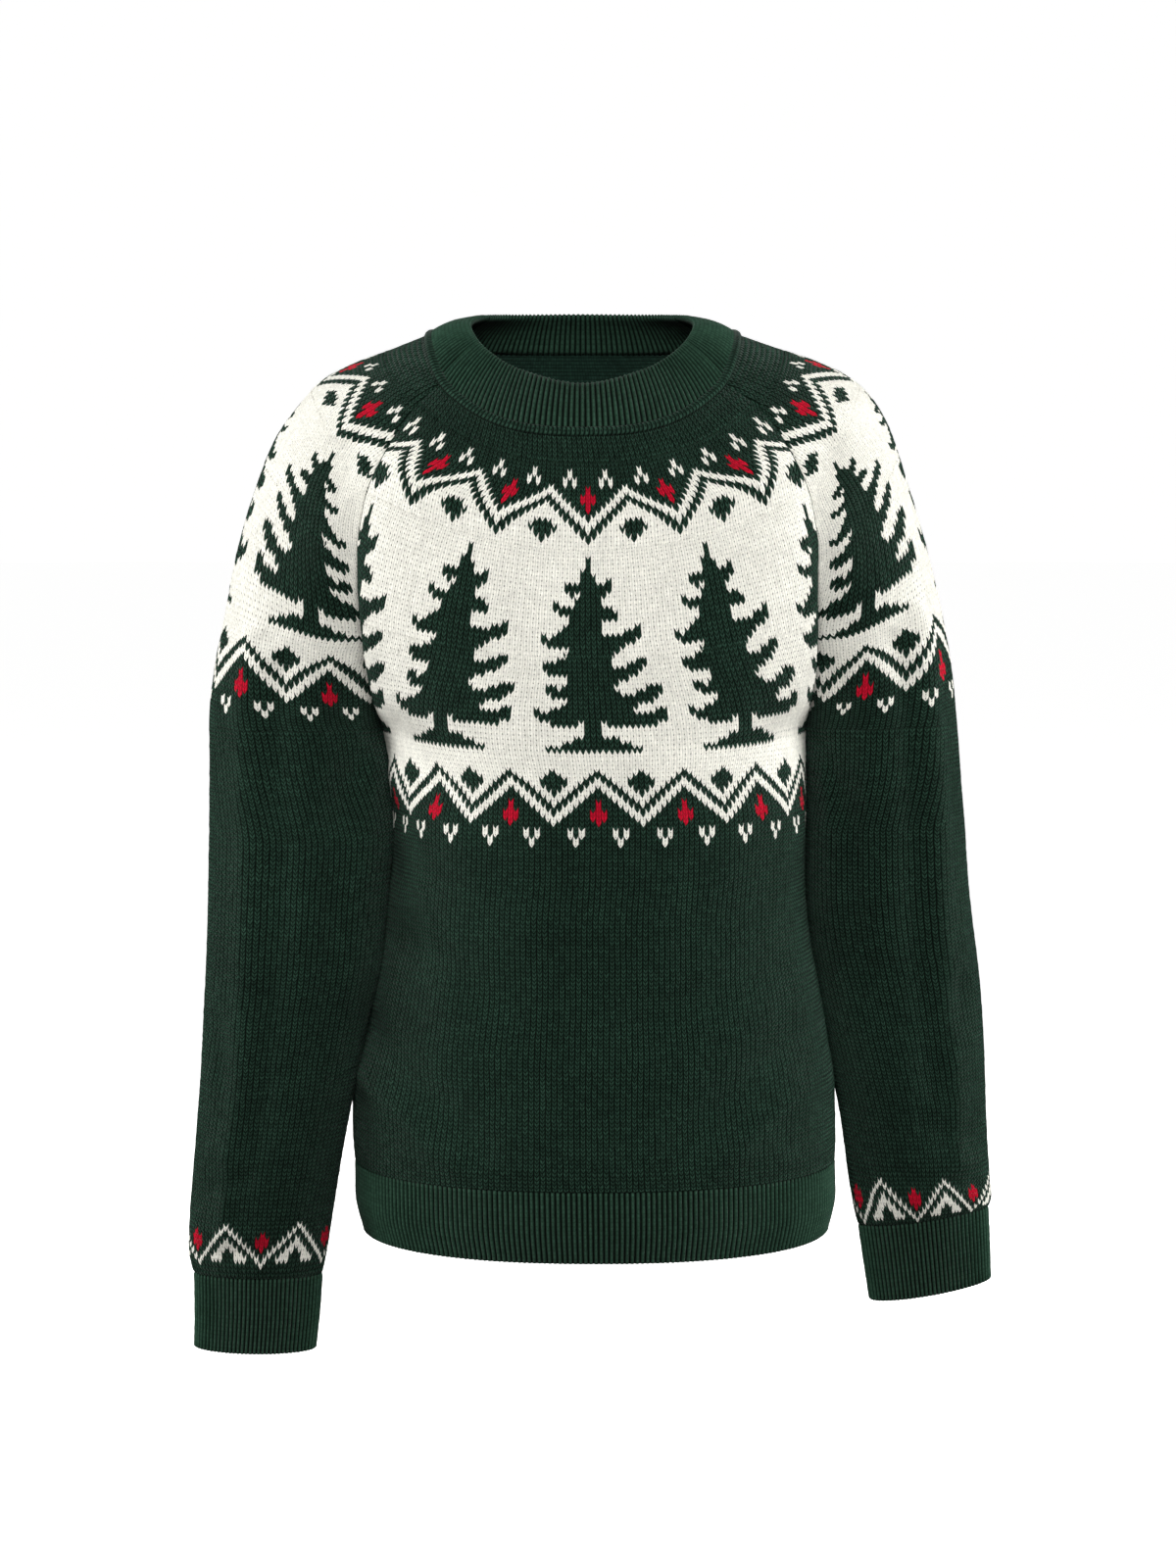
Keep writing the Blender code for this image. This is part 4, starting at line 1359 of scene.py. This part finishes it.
def wool(
    name, yarn, gap_shade_colour, seed, gap, row, eye, eye_least, gap_width, row_width, groove_width, vary, patchy
):
    """Soft spun yarn in knitted stitches: yarn is its own colour, gap_shade_colour the colour painted
    into the gaps as painted shade. gap, row and eye say how much painted shade darkens it between
    columns, between rows and between a stitch's two legs, eye_least how much of the last is left away
    from its eye.
    The widths are shares of a stitch, vary is how much one stitch differs from the next, and patchy how
    much the tone changes at random over a hand's width, which also stands in for the soft shade of
    folds as painted shade."""
    material = bpy.data.materials.new(name)
    material.use_nodes = True
    tree = material.node_tree
    shader = tree.nodes["Principled BSDF"]
    shader.inputs["Roughness"].default_value = 0.9
    shader.inputs["Specular IOR Level"].default_value = 0.04
    # The halo of loose fibres, which lights up where the cloth turns away
    shader.inputs["Sheen Weight"].default_value = 0.12
    shader.inputs["Sheen Roughness"].default_value = 0.3
    shader.inputs["Sheen Tint"].default_value = to_linear("#b9c8bf")

    stitch = add_node(tree, "ShaderNodeUVMap", uv_map="stitches")
    across, up = add_node(tree, "ShaderNodeSeparateXYZ", [(0, stitch)]).node.outputs[:2]
    # 0 at a stitch's borders and 0.5 in its middle, both ways
    from_border = add_node(tree, "ShaderNodeMath", [(0, across), (1, 0.5)], operation="PINGPONG")
    from_row = add_node(tree, "ShaderNodeMath", [(0, up), (1, 0.5)], operation="PINGPONG")
    in_row = add_node(tree, "ShaderNodeMath", [(0, up)], operation="FRACT")
    from_eye = add_node(
        tree, "ShaderNodeMath", [(0, in_row), (1, EYE_MIDDLE), (2, EYE_HALF)], operation="COMPARE"
    )
    # Painted shade: how dark it is between columns, between a stitch's legs, away from its eye, and
    # between rows
    between, groove, eye_share, row_gap = (
        add_node(
            tree,
            "ShaderNodeMapRange",
            [("Value", source), ("From Min", low), ("From Max", high), ("To Min", a), ("To Max", b)],
            interpolation_type=easing,
        )
        for source, low, high, a, b, easing in (
            (from_border, 0.0, gap_width, gap, 0.0, "SMOOTHSTEP"),
            (from_border, 0.5 - groove_width, 0.5, 0.0, eye, "SMOOTHSTEP"),
            (from_eye, 0.0, 1.0, eye_least, 1.0, "LINEAR"),
            (from_row, 0.0, row_width, row, 0.0, "SMOOTHSTEP"),
        )
    )
    eyes = add_node(tree, "ShaderNodeMath", [(0, groove), (1, eye_share)], operation="MULTIPLY")
    gaps = add_node(tree, "ShaderNodeMath", [(0, between), (1, row_gap)], operation="MAXIMUM")
    one_stitch = add_node(tree, "ShaderNodeVectorMath", [(0, stitch)], operation="FLOOR")
    own = add_node(tree, "ShaderNodeTexWhiteNoise", [("Vector", one_stitch)], noise_dimensions="2D")
    # depth is the share of painted shade at each place; it also lowers the bump's height in the gaps
    depth = add_node(tree, "ShaderNodeMath", [(0, gaps), (1, eyes)], operation="MAXIMUM")

    place = add_node(tree, "ShaderNodeTexCoord").node.outputs["Object"]
    fibre = add_node(
        tree,
        "ShaderNodeTexNoise",
        [("Vector", place), ("Scale", 1 / FIBRE), ("Detail", 3.0), ("Roughness", 0.6)],
    )
    fleck, tone = (
        add_node(
            tree,
            "ShaderNodeTexNoise",
            [("Vector", place), ("W", float(seed)), ("Scale", 1 / size), ("Detail", detail)],
            noise_dimensions="4D",
        )
        for size, detail in ((FLECK, 1.0), (TONE, 2.0))
    )
    # The patterns are 0.5 in their middle, where the yarn has its own colour
    plain = 1 - (FIBRE_TONE + FLECK_TONE + patchy) / 2
    soft = add_node(
        tree, "ShaderNodeMath", [(0, fibre), (1, FIBRE_TONE), (2, plain)], operation="MULTIPLY_ADD"
    )
    flecked = add_node(
        tree, "ShaderNodeMath", [(0, fleck), (1, FLECK_TONE), (2, soft)], operation="MULTIPLY_ADD"
    )
    # Slow random tone: partly the yarn's own, partly painted shade in place of soft folds
    toned = add_node(
        tree, "ShaderNodeMath", [(0, tone), (1, patchy), (2, flecked)], operation="MULTIPLY_ADD"
    )
    lit = add_node(
        tree, "ShaderNodeMath", [(0, own), (1, 2 * vary), (2, 1 - vary)], operation="MULTIPLY_ADD"
    )
    bright = add_node(tree, "ShaderNodeMath", [(0, toned), (1, lit)], operation="MULTIPLY")
    # The yarn is painted towards its dark gap colour in the gaps, as painted shade
    coloured = add_node(
        tree,
        "ShaderNodeMix",
        [(0, depth), (6, to_linear(yarn)), (7, to_linear(gap_shade_colour))],
        data_type="RGBA",
    ).node.outputs[2]
    shaded = add_node(
        tree, "ShaderNodeVectorMath", [(0, coloured), ("Scale", bright)], operation="SCALE"
    )
    tree.links.new(shaded, shader.inputs["Base Color"])

    # The strands are round, so they stand out of the gaps
    swell = add_node(
        tree, "ShaderNodeMath", [(0, fibre), (1, FIBRE_SWELL), (2, 1.0)], operation="MULTIPLY_ADD"
    )
    height = add_node(tree, "ShaderNodeMath", [(0, swell), (1, depth)], operation="SUBTRACT")
    bump = add_node(
        tree, "ShaderNodeBump", [("Height", height), ("Strength", 1.0), ("Distance", FIBRE)]
    )
    tree.links.new(bump, shader.inputs["Normal"])
    return material


# Spun wool mix yarn, machine knitted in stocking stitch: matt, with a fine halo, and painted shade,
# near black, in the eyes between the legs of its stitches and in the gaps between columns and rows
green_yarn = wool(
    "knitted_green_wool", "#2b4538", "#020302", seed=1,
    gap=0.98, row=0.95, eye=0.9, eye_least=0.4,
    gap_width=0.28, row_width=0.46, groove_width=0.18, vary=0.22, patchy=0.6,
)
# White yarn: its gaps and a dot in each stitch's eye are painted dark grey-green, partly the green yarn
# carried behind showing through and partly painted shade
white_yarn = wool(
    "knitted_white_wool", "#e8e6dc", "#343a32", seed=2,
    gap=0.3, row=0.12, eye=1.0, eye_least=0.2,
    gap_width=0.15, row_width=0.3, groove_width=0.16, vary=0.06, patchy=0.2,
)
# Red yarn, with painted shade in its gaps, rows and eyes
red_yarn = wool(
    "knitted_red_wool", "#c2142e", "#2e040a", seed=3,
    gap=0.7, row=0.5, eye=0.9, eye_least=0.4,
    gap_width=0.17, row_width=0.3, groove_width=0.14, vary=0.12, patchy=0.3,
)
# The same wool as ribs: the rib stands up, and the valley between two ribs and the gaps between rows
# are painted near black as painted shade
rib_yarn = wool(
    "ribbed_green_wool", "#2b4537", "#020302", seed=4,
    gap=1.0, row=0.3, eye=0.0, eye_least=0.0,
    gap_width=0.42, row_width=0.34, groove_width=0.1, vary=0.12, patchy=0.5,
)
# The purl side: flat bumps, duller and darker, with painted shade in its gaps, rows and eyes
purl_yarn = wool(
    "purl_green_wool", "#1d332a", "#040806", seed=5,
    gap=0.7, row=0.6, eye=0.5, eye_least=0.42,
    gap_width=0.2, row_width=0.3, groove_width=0.12, vary=0.2, patchy=0.4,
)
yarns = (green_yarn, white_yarn, red_yarn)

front_plan = {"rows": BODY_ROWS, "last_row": 87, "widths": BODY_WIDTHS, "chart": {}}
back_plan = {**front_plan, "middle_rows": BACK_MIDDLE_ROWS, "last_row": 105}
right_plan = {
    "rows": RIGHT_ROWS,
    "last_row": 89,
    "widths": SLEEVE_WIDTHS,
    "lean": RIGHT_LEAN,
    "round": RIGHT_ROUND,
    "chart": {"upper_shift": -3, "cuff_row": -142, "cuff_shift": 2},
}
left_plan = {
    "rows": LEFT_ROWS,
    "last_row": 89,
    "widths": SLEEVE_WIDTHS,
    "lean": LEFT_LEAN,
    "round": LEFT_ROUND,
    "chart": {"lower_shift": 3, "cuff_row": -137, "cuff_shift": -2},
}

front_knit = knit_piece("front_knit", front_cloth, front_plan, 11)
back_knit = knit_piece("back_knit", back_cloth, back_plan, 12)
right_knit = knit_piece("right_sleeve_knit", right_cloth, right_plan, 13)
left_knit = knit_piece("left_sleeve_knit", left_cloth, left_plan, 14)

front_skin = skin("front_purl", front_cloth)
back_skin = skin("back_purl", back_cloth)
right_skin = skin("right_sleeve_purl", right_cloth)
left_skin = skin("left_sleeve_purl", left_cloth)


def hem_edge_out(share):
    """How far and which way the free edge of a hem or a cuff is rounded."""
    return HEM_EDGE


# The knit has two ribs for each one of the solids
hem_ribs, cuff_ribs, neck_ribs = 2 * HEM_RIBS, 2 * CUFF_RIBS, 2 * NECK_RIBS
front_hem, back_hem = (
    ribbed_band(
        node.replace("rib", "knit"),
        node,
        "rib_hem",
        hem_ribs,
        *hem_faces(back),
        hem_edge_out,
        seed,
        side_seams=True,
    )
    for node, back, seed in (("front_hem_rib", False, 5), ("back_hem_rib", True, 6))
)
right_cuff, left_cuff = (
    ribbed_band(
        node + "_knit", node, "rib_cuff", cuff_ribs, *cuff_faces(side, source), hem_edge_out, seed
    )
    for node, side, source, seed in (
        ("right_cuff", RIGHT, RIGHT_CUFF, 7),
        ("left_cuff", LEFT, LEFT_CUFF, 8),
    )
)
neckband = ribbed_band(
    "neckband_knit", "neckband", "rib_neck", neck_ribs, *neckband_faces(), neck_edge_out, 9
)

# The band is linked on: a rolled chain of stitches over the neck seam
NECK_LINKS = 230
NECK_LINK_RADIUS = 3.2
NECK_LINK_OUT = 0.9
NECK_LINK_UP = 0.6
# Places over which the line's corners at the shoulders are rounded off
CORNER_PLACES = 29


def smoothed(loop):
    """A closed line with its corners rounded off."""
    half = CORNER_PLACES // 2
    around = np.concatenate([loop[-1 - half : -1], loop, loop[1 : 1 + half]])
    even = np.ones(CORNER_PLACES) / CORNER_PLACES
    return np.stack([np.convolve(around[:, axis], even, "valid") for axis in range(3)], axis=-1)


link_up = unit(neck_edge(neck_angle(neck_points)) - neck_points)
link_facing = unit(smoothed(neck_normals))
link_centres = smoothed(neck_points) + NECK_LINK_OUT * link_facing + NECK_LINK_UP * link_up
linking = rope("neck_linking", link_centres, link_facing, NECK_LINK_RADIUS, NECK_LINKS)

# Overlocked seams inside the joins: a thin cord of yarn just below the surface
SEAM_DEPTH = 1.6
SEAM_RADIUS = 1.3
SEAM_PLACES = 120
RAGLAN_LEVELS = (0.1, 9.9)
SIDE_LEVELS = (10.1, 19.9)


def seam(name, cloth, end, levels, links, slot):
    """A seam's cord down one end of a cloth's rows, the start (-1) or the end (+1)."""
    levels = np.linspace(*levels, SEAM_PLACES)
    points, normals = cloth.at(levels, np.full(SEAM_PLACES, end))
    line = points - SEAM_DEPTH * normals
    return rope(name, line, normals, SEAM_RADIUS, links, sides=8, per_link=4, closed=False)


seams = {
    name: seam(name, *rest)
    for name, *rest in (
        ("front_right_raglan_seam", front_cloth, -1, RAGLAN_LEVELS, 66, "knit_body"),
        ("front_left_raglan_seam", front_cloth, 1, RAGLAN_LEVELS, 66, "knit_body"),
        ("back_right_raglan_seam", back_cloth, -1, RAGLAN_LEVELS, 70, "knit_body"),
        ("back_left_raglan_seam", back_cloth, 1, RAGLAN_LEVELS, 70, "knit_body"),
        ("right_side_seam", front_cloth, -1, SIDE_LEVELS, 70, "knit_body"),
        ("left_side_seam", front_cloth, 1, SIDE_LEVELS, 70, "knit_body"),
        ("right_underarm_seam", right_cloth, -1, SIDE_LEVELS, 90, "knit_sleeve"),
        ("left_underarm_seam", left_cloth, -1, SIDE_LEVELS, 90, "knit_sleeve"),
    )
}

# The studio, in metres
FLOOR_HEIGHT = -1.25
FLOOR_HALF = 30
SKY_RADIUS = 28
AMBIENT = 0.1
LIGHTS_AIM = (0, 0, -0.35)
LIGHTS = (  # name, place, size, power in watts
    ("softbox_left", (-2.9, -0.3, 0.1), 1.5, 76),
    ("softbox_right", (2.9, -0.3, 0.1), 1.5, 82),
    ("softbox_top", (0.0, -3.0, 1.0), 1.3, 98),
    ("softbox_back", (0.0, 2.6, 1.2), 2.0, 75),
)
CAMERA_PLACE = (0, -2.1857, -0.0619)
CAMERA_DOWN = 6.3  # degrees
SENSOR_HEIGHT = 36.0  # mm
LENS = 72.765  # mm


def set_ground():
    """A pale floor well below the garment and a pale sky, which light nothing."""
    paper = bpy.data.materials.new("matt_white_paper")
    paper.use_nodes = True
    sheet = paper.node_tree.nodes["Principled BSDF"]
    sheet.inputs["Base Color"].default_value = to_linear("#f4f4f2")
    sheet.inputs["Roughness"].default_value = 0.9
    sheet.inputs["Emission Color"].default_value = to_linear("#ffffff")
    sheet.inputs["Emission Strength"].default_value = 0.9
    ground = bmesh.new()
    bmesh.ops.create_grid(ground, x_segments=1, y_segments=1, size=FLOOR_HALF)
    bmesh.ops.translate(ground, verts=ground.verts, vec=(0, 0, FLOOR_HEIGHT))
    sky = bmesh.new()
    bmesh.ops.create_icosphere(sky, subdivisions=4, radius=SKY_RADIUS)
    bmesh.ops.reverse_faces(sky, faces=sky.faces)
    for name, mesh in (("floor", ground), ("backdrop", sky)):
        data = bpy.data.meshes.new(name)
        mesh.to_mesh(data)
        mesh.free()
        data.materials.append(paper)
        part = bpy.data.objects.new(name, data)
        bpy.context.scene.collection.objects.link(part)
        part.visible_diffuse = False
        part.visible_glossy = False
        part.visible_shadow = False


def set_lights():
    world = bpy.data.worlds.new("studio")
    bpy.context.scene.world = world
    world.use_nodes = True
    ambient = world.node_tree.nodes["Background"]
    ambient.inputs["Color"].default_value = (1, 1, 1, 1)
    ambient.inputs["Strength"].default_value = AMBIENT
    for name, place, size, power in LIGHTS:
        light = bpy.data.lights.new(name, "AREA")
        light.size = size
        light.energy = power
        lamp = bpy.data.objects.new(name, light)
        bpy.context.scene.collection.objects.link(lamp)
        lamp.location = place
        aim = Vector(LIGHTS_AIM) - Vector(place)
        lamp.rotation_euler = aim.to_track_quat("-Z", "Y").to_euler()


def set_camera():
    view = bpy.data.cameras.new("camera")
    view.sensor_fit = "VERTICAL"
    view.sensor_height = SENSOR_HEIGHT
    view.lens = LENS
    view.clip_end = 100
    camera = bpy.data.objects.new("camera", view)
    bpy.context.scene.collection.objects.link(camera)
    camera.location = CAMERA_PLACE
    camera.rotation_euler = Euler((math.radians(90 - CAMERA_DOWN), 0, 0))
    bpy.context.scene.camera = camera
    bpy.context.scene.view_settings.view_transform = "Standard"
    bpy.context.scene.view_settings.look = "None"


set_ground()
set_lights()
set_camera()
